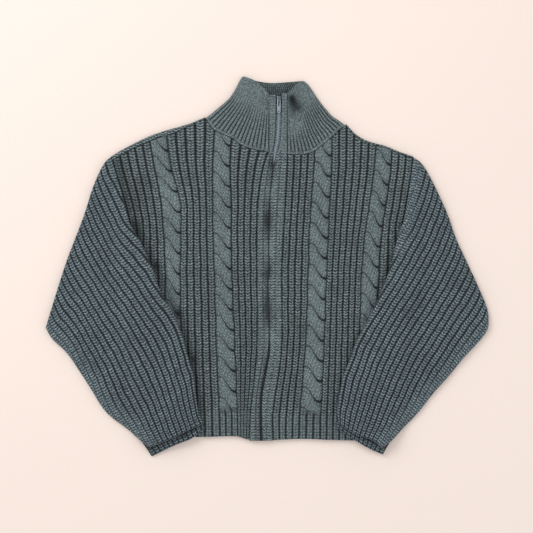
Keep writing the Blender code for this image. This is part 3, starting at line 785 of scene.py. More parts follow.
@dataclass
class BackPanel:
    """The back, flat on the table with its ribs pressed down, and its shoulder edges rolled forward.

    Args:
        fronts: The fronts, whose shoulders and armholes it shares.
        stitches: Its stitches.
        neck: The x of the neckline's ends.
        shoulders: The x where each shoulder starts.
        corners: The x of its upper corners.
        columns: The grid's columns in the right shoulder, the neck and the left shoulder.
        flat_rows: The grid's rows up to the roll.
        roll_rows: Its rows round the roll.
        rib_pitch: The width of a rib.
        rib_depth: How deep the ribs are on the face that rests on the table.
        under_seam: How far it reaches under each armhole seam.
        hem_below: How far it shows below the fronts at the hem.
        flat: The flat size, in metres. Not used.
        flat_share: How much of that rectangle it fills. Not used.
    """

    fronts: dict[Side, FrontPanel]
    stitches: Stitches = Stitches()
    neck: tuple[float, float] = (-97.3, 119.3)
    shoulders: tuple[float, float] = (-97.9, 119.9)
    corners: tuple[float, float] = (-243.5, 225.0)
    columns: tuple[int, int, int] = (88, 74, 63)
    flat_rows: int = 90
    roll_rows: int = 10
    rib_pitch: float = 9.9
    rib_depth: float = 0.9
    under_seam: float = 4.0
    hem_below: float = 0.8
    flat: tuple[float, float] = (0.466, 0.51)
    flat_share: float = 0.88

    def _columns(self) -> Array:
        """The grid's columns by their x at the shoulder."""
        spans = ((self.corners[0], self.shoulders[0]), self.neck, (self.shoulders[1], self.corners[1]))
        return np.concatenate([np.linspace(*span, count) for span, count in zip(spans, self.columns)])

    def place(self, u: Array, v: Array, on_top: Array) -> Cloth:
        """Turns pattern coordinates into cloth.

        Args:
            u: The share from the right to the left.
            v: The share from the hem up and round the roll.
            on_top: Whether each point is on the wall's upper face.

        Returns:
            The cloth.
        """
        stops = self._columns()
        column = np.interp(u, np.linspace(0, 1, len(stops)), stops)
        flat_end = self.flat_rows / (self.flat_rows + self.roll_rows)
        flat = np.minimum(v / flat_end, 1.0)
        rolled = np.clip((v - flat_end) / (1 - flat_end), 0, 1)
        bottom = through(HEM)(column) - self.hem_below
        neck_top = through(BACK_NECKLINE)(column) - SEAM_GAP
        x, y = column, bottom + (neck_top - 0.4 - bottom) * flat + 0.4 * rolled
        low, high = np.zeros_like(u), np.full_like(u, BACK_WALL)
        is_neck = (column > self.neck[0] - 0.2) & (column < self.neck[1] + 0.2)
        middle = SHOULDER_TOP / 2
        lumps = 0.7 * np.sin(2 * np.pi * column / 8.4) + 0.4 * np.sin(2 * np.pi * column / 5.1 + 1)
        for side, near, far in zip(Side, self.shoulders, self.corners):
            front = self.fronts[side]
            here = ~is_neck & ((column < 0) == (side is Side.RIGHT))
            shoulder, roll = through(front.shoulder), through(front.roll)
            # The side edge follows the armhole, and the columns are drawn in towards it.
            corner = np.full(1, far)
            far_low = through(HEM)(corner)[0] - self.hem_below
            far_y = far_low + (shoulder(corner)[0] - roll(corner)[0] - far_low) * flat
            under_seam = self.under_seam * smooth((far_y - 50) / 20) * on_top
            edge = front.guide("edge", far_y) + side.outward * (under_seam - SEAM_GAP / 2)
            drawn = near + (column - near) * (edge - near) / (far - near)
            x = np.where(here & (flat < 1), drawn, x)
            top, depth = shoulder(column), roll(column) * (1 - rolled) ** 1.6
            up = np.where(rolled > 0, top - depth, bottom + (top - roll(column) - bottom) * flat)
            y = np.where(here, up, y)
            rolled_top = middle + (middle + lumps) * rounded(depth, middle * 0.8)
            high = np.where(here & (rolled > 0.05), rolled_top, high)
            low = np.where(here & (rolled > 0), middle - middle * rounded(depth, middle), low)
        ribs = self.stitches.rib(x / self.rib_pitch, y, 1.0)
        low = low + np.where(rolled > 0, 0, self.rib_depth - np.clip(ribs.height, -0.1, self.rib_depth))
        # Painted shade: stripes of painted shade and light across the roll, an even shade on the flat top,
        # and the ribs' own shade below.
        shade = np.where(rolled > 0, 0.62 + 0.25 * np.sin(2 * np.pi * column / 4.2), 0.8)
        points = np.stack([x, y, np.where(on_top, high, low)], -1)
        return Cloth(points, np.where(on_top, shade, ribs.light), ribs)

    def build(self, finish: Finish) -> bpy.types.Object:
        """Knits the back and puts it over its CAD node.

        Args:
            finish: Its yarn.

        Returns:
            The object.
        """
        grid = WallGrid(sum(self.columns) - 1, self.flat_rows + self.roll_rows, 1, 1)
        obj = dress("back_knit", knit("back", grid, self.place), finish, "back")
        return obj


@dataclass
class Sleeve:
    """A sleeve: an upper and an under layer that meet in folds, open at the cuff and at the armhole.

    Its plan has u from the lower edge to the body's side, and v from the cuff up.

    Args:
        side: The wearer's side.
        front: The front that it lies on.
        elbow_to_shoulder: The outer fold, up from the elbow.
        elbow_to_cuff: The outer fold, down from the elbow.
        fold_to_cuff: The fold on the body's side, down from the end of the armhole seam.
        cuff_upper: The cuff's edge on the upper layer.
        cuff_lower: The cuff's edge on the under layer.
        seam_stops: The heights of the armhole seam's points.
        ribs: The ribs across the middle.
        run_off: How many of them end at the lower edge.
        run_in: How many more end at the body's side.
        smooth_fold: How much of the width beside the armhole is pulled smooth.
        creases: Ridges and hollows.
        stitches: Its stitches.
        half: Half the height of the two layers.
        lift: How far the body lifts the sleeve.
        lift_run: How far from the body's edge it takes to rise.
        fold_radius: The radius of the folds.
        seam_end: The height at which the armhole seam ends.
        cuff_roll: How thick the cuff's edge rolls, and how far up.
        gape: How far the cuff gapes, and how far up.
        fold_pull: How far from the outer fold the ribs are pulled flat.
        inset: How far the layers stay off the armhole, as a share of the width.
        columns: The upper layer's columns.
        rows: The upper layer's rows.
        under_grid: The under layer's columns and rows.
        flat: The flat size of the whole tube, in metres. Not used.
        flat_share: How much of that rectangle it fills. Not used.
    """

    side: Side
    front: FrontPanel
    elbow_to_shoulder: Points
    elbow_to_cuff: Points
    fold_to_cuff: Points
    cuff_upper: Points
    cuff_lower: Points
    seam_stops: tuple[float, ...]
    ribs: float = 16.5
    run_off: float = 4.8
    run_in: float = 4.5
    smooth_fold: float = 0.0
    creases: Lines = ()
    stitches: Stitches = Stitches()
    half: float = 3.6
    lift: float = 9.7
    lift_run: float = 34.0
    fold_radius: float = 5.0
    seam_end: float = 71.0
    cuff_roll: tuple[float, float] = (0.9, 7.0)
    gape: tuple[float, float] = (2.2, 26.0)
    fold_pull: float = 32.0
    inset: float = 0.0015
    columns: int = 168
    rows: int = 320
    under_grid: tuple[int, int] = (104, 160)
    flat: tuple[float, float] = (0.36, 0.47)
    flat_share: float = 0.74

    def _plan(self, under: bool) -> Plan:
        """The sleeve's plan.

        Args:
            under: Whether it is the under layer's.

        Returns:
            The plan.
        """
        seam = [(float(self.front.guide("edge", np.full(1, y))[0]) + self.side.outward * SEAM_GAP / 4, y)
                for y in self.seam_stops]
        cuff = self.cuff_lower if under else self.cuff_upper
        lower = list(reversed(self.elbow_to_cuff))
        inner = list(reversed(seam + list(self.fold_to_cuff)))
        if under:
            lower[0], inner[0] = cuff[0], cuff[-1]
        outer = list(self.elbow_to_shoulder) + seam[:1]
        true = patch(path(lower), path(inner), path(cuff), path(outer))
        # Away from the body's side the ribs run straighter than the fold does.
        stride = len(inner) // 3
        few = inner if under else [*inner[:-1:stride], inner[-1]]
        calm = patch(path(lower), path(few), path(cuff), path(outer))

        def plan(u: Array, v: Array) -> Array:
            """The points in plan, from the calm plan to the true one."""
            share = np.clip(u, 0, 1)[..., None] ** 4
            return calm(u, v) * (1 - share) + true(u, v) * share

        return plan

    def _floor(self, x: Array, y: Array) -> Array:
        """How high the body under the sleeve lifts it off the table.

        Args:
            x: The points' x.
            y: The points' y.

        Returns:
            The height at each point.
        """
        inside = -self.side.outward * (x - self.front.guide("edge", np.minimum(y, 100)))
        above_hem = y - through(HEM)(x)
        below_seam = smooth((150 - y) / 85)
        run = smooth(1 + inside / self.lift_run) * smooth(1 + above_hem / self.lift_run)
        return self.lift * run * below_seam

    def _lay(self, plan: Plan, u: Array, v: Array) -> tuple[Array, Array, Array, Array]:
        """Lays a layer down.

        Args:
            plan: Its plan.
            u: The share across.
            v: The share up.

        Returns:
            The points in plan, how far each lies up its own rib, the height of the rounded folds as a
            share, and the height of the middle between the layers.
        """
        inside = u * (1 - self.inset)
        spot = plan(inside, v)
        across, up = np.linspace(0, 1, 25), np.linspace(0, 1, 61)
        steps = np.linalg.norm(np.diff(plan(across[:, None], up[None, :]), axis=1), axis=-1).sum(axis=1)
        inner = plan(np.ones_like(v), v)
        gaps = [
            np.linalg.norm(spot - plan(np.zeros_like(v), v), axis=-1),
            np.linalg.norm(spot - plan(inside, np.ones_like(u)), axis=-1),
            np.linalg.norm(spot - inner, axis=-1) + FAR_OFF * smooth((inner[..., 1] - self.seam_end) / 12),
        ]
        share = rounded(np.minimum.reduce(gaps) + 0.02, self.fold_radius)
        return spot, v * np.interp(u, across, steps), share, self._floor(*spot.T) + self.half

    def _drape(self, x: Array, y: Array) -> Array:
        """The height that creases and swells add to the upper layer.

        Args:
            x: The points' x.
            y: The points' y.

        Returns:
            The height at each point.
        """
        turn = SLEEVE_WAVER[self.side]
        wavers = 1.1 * waver(x, y, 120, turn) + 0.5 * waver(x, y, 46, turn + 1)
        return wavers + along_lines(x, y, self.creases)

    def _upper(self, u: Array, v: Array, on_top: Array) -> Cloth:
        """The upper layer, ribbed, with its cuff rolled thick.

        Args:
            u: The share across.
            v: The share up.
            on_top: Whether each point is on the wall's upper face.

        Returns:
            The cloth.
        """
        plan = self._plan(under=False)
        spot, along, share, middle = self._lay(plan, u, v)
        x, y = spot.T
        # Ribs run off the lower edge towards the cuff, and off the body's side towards the shoulder.
        turns = self.run_off * (1 - v) ** 1.7
        turns = turns + (self.ribs + self.run_in * smooth((v - 0.3) / 0.75) - turns) * u
        ribs = self.stitches.rib(turns + 0.08 * waver(x, y, 60, 8.1), along, RIB_HEIGHT)
        # The outer fold pulls the ribs flat, and so does the smooth fold beside the armhole.
        from_fold = np.linalg.norm(plan(np.zeros_like(v), v) - spot, axis=-1)
        beside_armhole = smooth((u - 1 + self.smooth_fold) / 0.05) * smooth((y - 5) / 30)
        bare = 0.75 * (self.smooth_fold > 0) * beside_armhole
        ribbed = (0.3 + 0.7 * smooth(from_fold / self.fold_pull)) * (1 - bare)
        relief = self.stitches.plain(turns * 2, along).mixed(ribs, ribbed)
        cuff, ends = bell(along, self.cuff_roll[1]), rounded(along + 0.5, 3.5)
        gape = self.gape[0] * bell(along, self.gape[1]) * np.sin(np.pi * np.clip(u, 0, 1)) ** 0.7
        top = self.half + relief.height + self.cuff_roll[0] * cuff + np.maximum(self._drape(x, y), -1.6)
        z = middle + (gape + np.where(on_top, top * ends, 0.35 - 0.2 * cuff)) * share
        # Painted shade: darker at the cuff's end and towards the folds, and a little darker where the fold is
        # pulled smooth.
        light = relief.light * (0.45 + 0.55 * ends) * (0.6 + 0.4 * share) * (1 - 0.15 * bare)
        return Cloth(np.stack([x, y, z], -1), light, relief)

    def _under(self, u: Array, v: Array, on_top: Array) -> Cloth:
        """The under layer, whose inside shows where it pokes out of the cuff.

        Args:
            u: The share across.
            v: The share up.
            on_top: Whether each point is on the wall's upper face.

        Returns:
            The cloth.
        """
        spot, along, share, middle = self._lay(self._plan(under=True), u, v)
        relief = self.stitches.rib(u * (self.ribs - self.run_off), along, 1.1)
        ends = rounded(along + 0.6, 2.5)
        top = middle - 0.5 - (1.3 - np.clip(relief.height, -0.4, 1.2)) * bell(along, 22) * ends
        low = middle - (self.half - 0.9 + np.clip(relief.height, 0, 0.9)) * share * np.maximum(ends, 0.3)
        z = np.where(on_top, np.maximum(top, low + 0.2), low)
        # Painted shadow just inside the cuff, under the upper layer's edge.
        cuff_shadow = 1 - 0.6 * bell(along - 15, 7)
        return Cloth(np.stack([*spot.T, z], -1), relief.light * cuff_shadow, relief)

    def build(self, finish: Finish) -> bpy.types.Object:
        """Knits the sleeve and puts it over its CAD node.

        Args:
            finish: Its yarn.

        Returns:
            The object.
        """
        name = f"{self.side.value}_sleeve"
        upper = knit(f"{name}_upper", WallGrid(self.columns, self.rows), self._upper)
        under = knit(f"{name}_under", WallGrid(*self.under_grid, 1, 1), self._under)
        mesh = joined(name, [upper, under])
        mesh.shade_smooth()
        obj = dress(f"{name}_knit", mesh, finish, name)
        return obj


@dataclass
class Collar:
    """The high collar: one ribbed strip from band to band round the neck, folded flat at both sides.

    Args:
        fronts: The fronts, whose necklines it is sewn to.
        right_side: The fold on the right, from the neck up.
        left_side: The fold on the left.
        right_top: The top edge, from the right band's side to the right fold.
        left_top: The top edge, from the left fold to the left band's side.
        back_top: The top edge behind the neck.
        band_edges: The x of the edges beside the right and the left band.
        band_tops: The y of their tops.
        ribs_front: The ribs on each side of the zip.
        ribs_back: The ribs behind the neck.
        front_floor: The height of the front's inner face.
        fold: The height of the folds.
        fold_radius: The radius of the folds.
        high: The height of the strip, along its ribs.
        rib_height: How far its ribs stand out.
        ribs_end: Where the ribs start to die out, as a share of the height.
        lip: The height, the middle and the half width of the ridge where it is sewn on.
        columns: The grid's columns.
        rows: The grid's rows.
        swells: Swells and dents of the front: x, y, half widths and height.
        shadows: Where the cloth lies in shade.
        stitches: Its stitches, finer than the body's.
        flat: The flat size, in metres. Not used.
        flat_share: How much of that rectangle it fills. Not used.
    """

    fronts: dict[Side, FrontPanel]
    right_side: Points = ((-96.8, 230.8), (-87.6, 238), (-78.3, 245.7), (-69, 253.4), (-59.7, 262.5),
                          (-50.5, 277), (-44, 290), (-40, 295))
    left_side: Points = ((118.6, 219.8), (107.7, 227.8), (98.4, 234), (89, 244.5), (80, 255.5), (70.5, 269.5),
                         (61, 283), (55, 288))
    right_top: Points = ((-5, 274), (-22, 288), (-40, 295))
    left_top: Points = ((55, 288), (47, 284), (40, 278))
    back_top: Points = ((-40, 295), (-22, 288.5), (2, 285), (29, 286), (55, 288))
    band_edges: tuple[float, float] = (0.7, 29.3)
    band_tops: tuple[float, float] = (267, 269)
    ribs_front: int = 17
    ribs_back: int = 34
    front_floor: float = 4.2
    fold: float = 3.7
    fold_radius: float = 4.5
    high: float = 100.0
    rib_height: float = 1.5
    ribs_end: float = 0.42
    lip: tuple[float, float, float] = (1.1, 2.0, 2.4)
    columns: int = 402
    rows: int = 80
    swells: tuple[tuple[float, ...], ...] = (
        (15, 268, 40, 22, 3.4),
        (15, 240, 17, 40, 1.3),
        (-5, 252, 8, 8, -2.3),
        (42, 250, 9, 10, -3.6),
        (36, 243, 6, 16, -1.2),
        (-45, 264, 20, 20, 1.6),
        (66, 246, 14, 16, 1.2),
        (-60, 226, 26, 7, 0.6),
        (-22, 244, 9, 12, 0.9),
        (70, 214, 24, 8, 0.7),
    )
    shadows: Lines = (
        (37, 260, 46, 246, 7.5, 0.6),
        (36, 262, 38, 236, 5, 0.3),
        (-2, 256, -1, 243, 4, 0.3),
        (1, 238, 1, 178, 1.6, 0.35),
        (29, 246, 29, 178, 1.6, 0.35),
    )
    stitches: Stitches = Stitches(row=3.7, leg=0.5, split=0.2, hole=0.5, loops=0.3)
    flat: tuple[float, float] = (0.45, 0.10)
    flat_share: float = 0.85

    def swell(self, x: Array, y: Array) -> Array:
        """The height that swells and dents add to the front of the collar.

        Args:
            x: The points' x.
            y: The points' y.

        Returns:
            The height at each point.
        """
        total = 0.35 * waver(x, y, 60, 1.3)
        for centre_x, centre_y, wide, long, height in self.swells:
            total += height * bell(x - centre_x, wide) * bell(y - centre_y, long)
        return total

    def _plans(self, inset: float) -> tuple[Plan, Plan, Plan]:
        """The plans of the right front, the back and the left front, drawn in at the folds.

        Args:
            inset: How far the folds are drawn in.

        Returns:
            The three plans.
        """
        none, shift, up = np.zeros(2), np.array((inset, 0.0)), np.array((0.0, SEAM_GAP / 2))

        def moved(points: Points, start: Array, end: Array) -> Line:
            """The line through points, with its start and its end moved."""
            line = path(points)
            return lambda share: line(share) + start * (1 - share[..., None]) + end * share[..., None]

        def upright(x: float, low: float, high: float) -> Line:
            """A straight line up beside a band."""
            return lambda share: np.stack([np.full_like(share, x), low + (high - low) * share], -1)

        necks = [self.fronts[side].neckline for side in Side]
        lows = [(edge, float(through(neck)(edge))) for edge, neck in zip(self.band_edges, necks)]
        tops = list(zip(self.band_edges, self.band_tops))
        right_upright, left_upright = (upright(low[0], low[1] + up[1], top[1])
                                       for low, top in zip(lows, tops))
        right_side, left_side = moved(self.right_side, shift, shift), moved(self.left_side, -shift, -shift)
        # Along the strip: from the right band to the right fold, behind the neck, and to the left band.
        right = patch(right_upright, right_side, moved([lows[0], *reversed(necks[0][:-1])], up, up + shift),
                      moved([tops[0], *self.right_top], none, shift))
        behind = patch(right_side, left_side, moved(BACK_NECKLINE, up + shift, up - shift),
                       moved(self.back_top, shift, -shift))
        left = patch(left_side, left_upright, moved([*reversed(necks[1][1:]), lows[1]], up - shift, up),
                     moved([*self.left_top, tops[1]], -shift, none))
        return right, behind, left

    def place(self, u: Array, v: Array, on_top: Array) -> Cloth:
        """Turns pattern coordinates into cloth.

        Args:
            u: The share along the strip, a third to each plan.
            v: The share from the neck up.
            on_top: Whether each point is on the strip's outer face.

        Returns:
            The cloth.
        """
        part = np.clip((u * 3).astype(int), 0, 2)
        share = u * 3 - part
        behind, left = part == 1, part == 2
        outer, inner = self._plans(0.0), self._plans(COLLAR_WALL)
        spots = [np.where(on_top[:, None], outer[i](share, v), inner[i](share, v)) for i in range(3)]
        spot = np.choose(part[:, None], spots)
        x, y = spot.T
        ones, zeros = np.ones_like(v), np.zeros_like(v)
        right_fold = np.linalg.norm(spot - outer[0](ones, v), axis=-1) + FAR_OFF * left
        left_fold = np.linalg.norm(spot - outer[2](zeros, v), axis=-1) + FAR_OFF * (part == 0)
        distance = np.minimum(right_fold, left_fold)
        full = rounded(np.where(on_top, distance, np.maximum(0, distance - COLLAR_WALL)), self.fold_radius)
        swell = self.swell(x, y) * rounded(distance, 4 * self.fold_radius)
        turns = share * np.where(behind, self.ribs_back, self.ribs_front)
        along = v * self.high
        # The ribs die out towards the top, and lower down beside the left band.
        reach = self.ribs_end - 0.3 * left * smooth((share - 0.45) / 0.35)
        fade = 1 - 0.85 * smooth((v - reach) / 0.35)
        ribs = self.stitches.rib(turns, along, self.rib_height)
        relief = self.stitches.plain(turns, along).mixed(ribs, np.where(behind, 1.0, fade))
        ends = rounded(np.minimum(v, 1 - v) * self.high + 0.5, 2.0)
        lip_height, lip_middle, lip_half = self.lip
        lip = bell(along - lip_middle, lip_half) * (~behind & on_top)
        top = self.front_floor + COLLAR_WALL * (0.7 + 0.3 * ends) + relief.height * ends * (1 - 0.8 * lip)
        top += lip_height * lip + np.maximum(swell, -2.2)
        front_z = np.where(on_top, top, self.front_floor + np.maximum(swell, 0) * 0.9)
        back_inner = BACK_WALL + 0.55 * ribs.height * ends
        back_z = np.where(on_top, 0.7 - np.clip(ribs.height * 0.45, 0, 0.7), back_inner)
        z = self.fold + (np.where(behind, back_z, front_z) - self.fold) * full
        # Painted shade: the left part a little darker and painted shadows along the listed lines; on the lip
        # an even painted light takes the place of the stitches' shade.
        light = relief.light * (0.92 - 0.06 * left) * (1 - along_lines(x, y, self.shadows))
        light = light + (0.8 - light) * lip
        # Diagonal stitches sew the collar on.
        row = np.where(lip > 0.5, turns * 2 + along / 5, relief.row)
        relief = replace(relief, row=row, loops=np.where(lip > 0.5, 0.8, relief.loops))
        # Painted shade on the back's inner face, darker lower down, under the fronts' top edges.
        inside = ribs.light * (0.5 + 0.25 * smooth((y - 262) / 26))
        return Cloth(np.stack([x, y, z], -1), np.where(behind & ~on_top, inside, light), relief)

    def build(self, finish: Finish) -> bpy.types.Object:
        """Knits the collar and puts it over its CAD node.

        Args:
            finish: Its yarn.

        Returns:
            The object.
        """
        mesh = knit("collar", WallGrid(self.columns, self.rows, 1, 1), self.place)
        obj = dress("collar_knit", mesh, finish, "collar")
        return obj


@dataclass
class FrontBand:
    """The smooth knitted strip beside the zip, from the hem to the top of the collar.

    Args:
        side: The wearer's side.
        front: The front beside it.
        collar: The collar beside it.
        top_y: The y of its top.
        gap_body: Half the opening between the bands over the body.
        gap_collar: Half the opening over the collar.
        opens: The height where the bands part, and over how far.
        collar_from: The height where it passes from the front to the collar, and over how far.
        crown: The height of its rounded top.
        ripples: The height up the band, the half length and the height of each ripple.
        ripple_share: How much of the ripples it takes.
        sunk: How much painted shade it gets where it dips under the other band.
        wale: The width of a wale.
        columns: The grid's columns.
        rows: The grid's rows.
        stitches: Its stitches.
        flat: The flat size, in metres. Not used.
    """

    side: Side
    front: FrontPanel
    collar: Collar
    top_y: float
    gap_body: float = 0.2
    gap_collar: float = 4.5
    opens: tuple[float, float] = (155.0, 32.0)
    collar_from: tuple[float, float] = (172.0, 8.0)
    crown: float = 8.4
    ripples: tuple[tuple[float, float, float], ...] = (
        (159, 10, -1.2), (115, 13, 1.0), (72, 22, -1.5), (27, 13, 1.2), (-10, 12, -1.3), (-66, 24, -1.3),
        (-114, 18, 1.1),
    )
    ripple_share: float = 1.0
    sunk: float = 0.0
    wale: float = 4.5
    columns: int = 28
    rows: int = 620
    stitches: Stitches = Stitches(leg=0.9, split=0.8, loops=0.9)
    flat: tuple[float, float] = (0.026, 0.537)

    def place(self, u: Array, v: Array, on_top: Array) -> Cloth:
        """Turns pattern coordinates into cloth.

        Args:
            u: The share from the front's edge to the zip.
            v: The share from the hem up.
            on_top: Whether each point is on the wall's upper face.

        Returns:
            The cloth.
        """
        bottom = float(through(HEM)(zip_at(HEM_Y)))
        length = self.top_y - bottom
        y = bottom + length * v
        in_collar = smooth((y - self.collar_from[0]) / self.collar_from[1])
        collar_edge = self.collar.band_edges[0 if self.side is Side.RIGHT else 1]
        edge = self.front.guide("band", y)
        edge = edge + (collar_edge - edge) * in_collar
        reach = self.side.outward * (edge - zip_at(y)) - SEAM_GAP / 2
        # The bands meet over the body and stand apart over the collar.
        opened = smooth((y - self.opens[0]) / self.opens[1])
        gap = self.gap_body + (self.gap_collar - self.gap_body) * opened
        distance = reach + (gap - reach) * u
        x = zip_at(y) + self.side.outward * distance
        over_chain = (distance < CHAIN_HALF) & (gap < self.gap_collar - 0.4)
        floor = np.where(over_chain, CHAIN_TOP + LAYER_GAP, CHAIN_FLOOR)
        ripple = sum(high * bell(y - middle, half) for middle, half, high in self.ripples)
        low = CHAIN_FLOOR + 1.6
        crown = np.sin(np.pi * (0.25 + 0.55 * u)) ** 0.8
        top = low + (self.crown - low + ripple * self.ripple_share) * crown
        top += in_collar * (0.2 + np.maximum(self.collar.swell(x, y), -1.0))
        wales = self.stitches.plain(distance / self.wale + 0.3, y)
        ribs_apart = 2 / reach + (1 / self.wale - 2 / reach) * (in_collar > 0.5)
        relief = wales.mixed(self.stitches.rib(distance * ribs_apart, y, 1.2), 0.5 - 0.1 * in_collar)
        ends = rounded(np.minimum(v, 1 - v) * length + 0.4, 3.0)
        sides = rounded(np.minimum(distance - gap, reach - distance) + 0.3, 1.8)
        top = np.maximum(top + relief.height * sides, floor + 0.9)
        z = np.where(on_top, floor + (top - floor) * (0.25 + 0.75 * ends * sides), floor)
        # The cloth sinks in beside the zip, rolls up in a lip, and sinks in again: the hollows get painted
        # shade and the lips a painted highlight. The line where the bands close gets painted shade, and so do
        # the band's sides and ends.
        lit = ripple * (1 - in_collar)
        lit_here = lit * bell(x - zip_at(y) - 1.2 * lit, 7.5)
        closed = np.exp(-((distance / 2.3) ** 4)) * (0.35 + 0.65 * smooth((-100 - y) / 30)) * (1 - in_collar)
        shade = relief.light * (0.15 + 0.85 * sides) * (0.5 + 0.5 * ends) * (1 + 0.42 * lit_here)
        shade *= (1 - closed) * (1 - self.sunk * smooth((12 - distance) / 6) * (1 - in_collar))
        loops = relief.loops * (1 - 0.6 * in_collar) * (1 - 0.5 * np.clip(lit_here, 0, 1))
        return Cloth(np.stack([x, y, z], -1), np.clip(shade, 0, 1.2), replace(relief, loops=loops))

    def build(self, finish: Finish) -> bpy.types.Object:
        """Knits the band and puts it over its CAD node.

        Args:
            finish: Its yarn.

        Returns:
            The object.
        """
        name = f"{self.side.value}_front_band"
        mesh = knit(name, WallGrid(self.columns, self.rows, 4), self.place)
        obj = dress(f"{name}_knit", mesh, finish, name)
        return obj


def rounded_box(size: Sequence[float], centre: Sequence[float], bevel: float,
                segments: int = 2) -> bmesh.types.BMesh:
    """A box with rounded edges, in millimetres.

    Args:
        size: Its sides.
        centre: Its middle.
        bevel: The radius of its edges.
        segments: The faces round each edge.

    Returns:
        The box.
    """
    bm = bmesh.new()
    bmesh.ops.create_cube(bm, size=1)
    bmesh.ops.scale(bm, verts=bm.verts, vec=Vector(size) * MM)
    bmesh.ops.translate(bm, verts=bm.verts, vec=Vector(centre) * MM)
    bmesh.ops.bevel(bm, geom=bm.edges, offset=bevel * MM, segments=segments, profile=0.5, affect="EDGES",
                    material=-1)
    return bm


def as_mesh(name: str, bm: bmesh.types.BMesh, angle: float = 35.0) -> bpy.types.Mesh:
    """Turns a bmesh into a mesh, smooth but for its sharp edges.

    Args:
        name: The mesh's name.
        bm: The bmesh, which is freed.
        angle: The angle past which an edge is sharp, in degrees.

    Returns:
        The mesh.
    """
    mesh = bpy.data.meshes.new(name)
    bm.to_mesh(mesh)
    bm.free()
    mesh.shade_smooth()
    mesh.set_sharp_from_angle(angle=math.radians(angle))
    return mesh


@dataclass
class ZipChain:
    """The closed teeth, in two rows that mesh, from the hem to the slider.

    Args:
        low: The y of the lowest tooth.
        high: The y where the slider takes over.
        pitch: The distance between two teeth of one row.
        tooth: A tooth's size.
        apart: How far a row stands off the centre line.
        bevel: The radius of a tooth's edges.
    """

    low: float = -266.0
    high: float = 256.0
    pitch: float = 2.5
    tooth: tuple[float, float, float] = (5.4, 1.15, 1.9)
    apart: float = 1.1
    bevel: float = 0.35

    def build(self, finish: Finish) -> bpy.types.Object:
        """Makes the teeth and puts them over the CAD's closed strip.

        Args:
            finish: Their metal.

        Returns:
            The object.
        """
        source = as_mesh("tooth", rounded_box(self.tooth, (0, 0, 0), self.bevel, 1))
        whole = bmesh.new()
        for i in range(int((self.high - self.low) / self.pitch * 2)):
            y = self.low + i * self.pitch / 2
            x, ahead = float(zip_at(y)), float(zip_at(y + 5))
            start = len(whole.verts)
            whole.from_mesh(source)
            whole.verts.ensure_lookup_table()
            turn = Matrix.Rotation(-math.atan2(ahead - x, 5), 4, "Z")
            place = (x + (self.apart if i % 2 else -self.apart), y, (CHAIN_FLOOR + CHAIN_TOP) / 2)
            bmesh.ops.transform(whole, matrix=Matrix.Translation(Vector(place) * MM) @ turn,
                                verts=whole.verts[start:])
        bpy.data.meshes.remove(source)
        return dress("zip_teeth", as_mesh("zip_teeth", whole), finish, "zip_chain")


@dataclass
class Slider:
    """The slider: a waisted top plate over the teeth, a lower plate, a post and a bridge.

    Args:
        y: The y of its middle.
        width: Its width.
        length: Its length.
        plate_floor: The height of the top plate's underside.
        plate_wall: The top plate's thickness.
        lower_top: The height of the lower plate's top.
        post_width: The width of the post between the plates.
        bridge_top: The height of the bridge.
        bridge_wire: Its thickness.
        bridge_width: Its width.
    """

    y: float = SLIDER_Y
    width: float = 7.0
    length: float = 12.0
    plate_floor: float = 6.7
    plate_wall: float = 1.3
    lower_top: float = 3.95
    post_width: float = 4.6
    bridge_top: float = 11.1
    bridge_wire: float = 1.2
    bridge_width: float = 2.4

    def _plate(self, low: float, high: float) -> bmesh.types.BMesh:
        """Makes one plate, narrower at its waist and at its ends.

        Args:
            low: The height of its underside.
            high: The height of its top.

        Returns:
            The plate.
        """
        x = float(zip_at(self.y))
        bm = rounded_box((self.width, self.length, high - low), (x, self.y, (low + high) / 2), 0.3)
        bmesh.ops.subdivide_edges(bm, edges=bm.edges, cuts=2, use_grid_fill=True)
        for vert in bm.verts:
            up = (vert.co.y / MM - self.y) / (self.length / 2)
            waist = 1 - 0.16 * math.exp(-((up + 0.25) / 0.4) ** 2)
            waist -= 0.3 * max(0.0, -up) ** 3 + 0.1 * max(0.0, up) ** 4
            vert.co.x = (x + (vert.co.x / MM - x) * waist) * MM
        return bm

    def build(self, finish: Finish) -> bpy.types.Object:
        """Makes the slider and puts it over its CAD node.

        Args:
            finish: Its metal.

        Returns:
            The object.
        """
        x = float(zip_at(self.y))
        top = self.plate_floor + self.plate_wall
        parts = [
            self._plate(self.plate_floor, top),
            self._plate(FRONT_FLOOR, self.lower_top),
            rounded_box((self.post_width, self.length * 0.4, self.plate_floor - 3.5),
                        (x, self.y + self.length * 0.24, (self.plate_floor + 3.7) / 2), 0.3),
        ]
        legs = self.length * 0.35 - self.bridge_wire / 2
        for end in (-1, 1):
            parts.append(rounded_box((self.bridge_width, self.bridge_wire, self.bridge_top - top + 0.3),
                                     (x, self.y + end * legs, (self.bridge_top + top - 0.3) / 2), 0.4))
        parts.append(rounded_box((self.bridge_width, 2 * legs + self.bridge_wire, self.bridge_wire),
                                 (x, self.y, self.bridge_top - self.bridge_wire / 2), 0.45, 3))
        for part in parts[1:]:
            held = as_mesh("slider_part", part)
            parts[0].from_mesh(held)
            bpy.data.meshes.remove(held)
        return dress("slider_body", as_mesh("slider_body", parts[0]), finish, "slider")


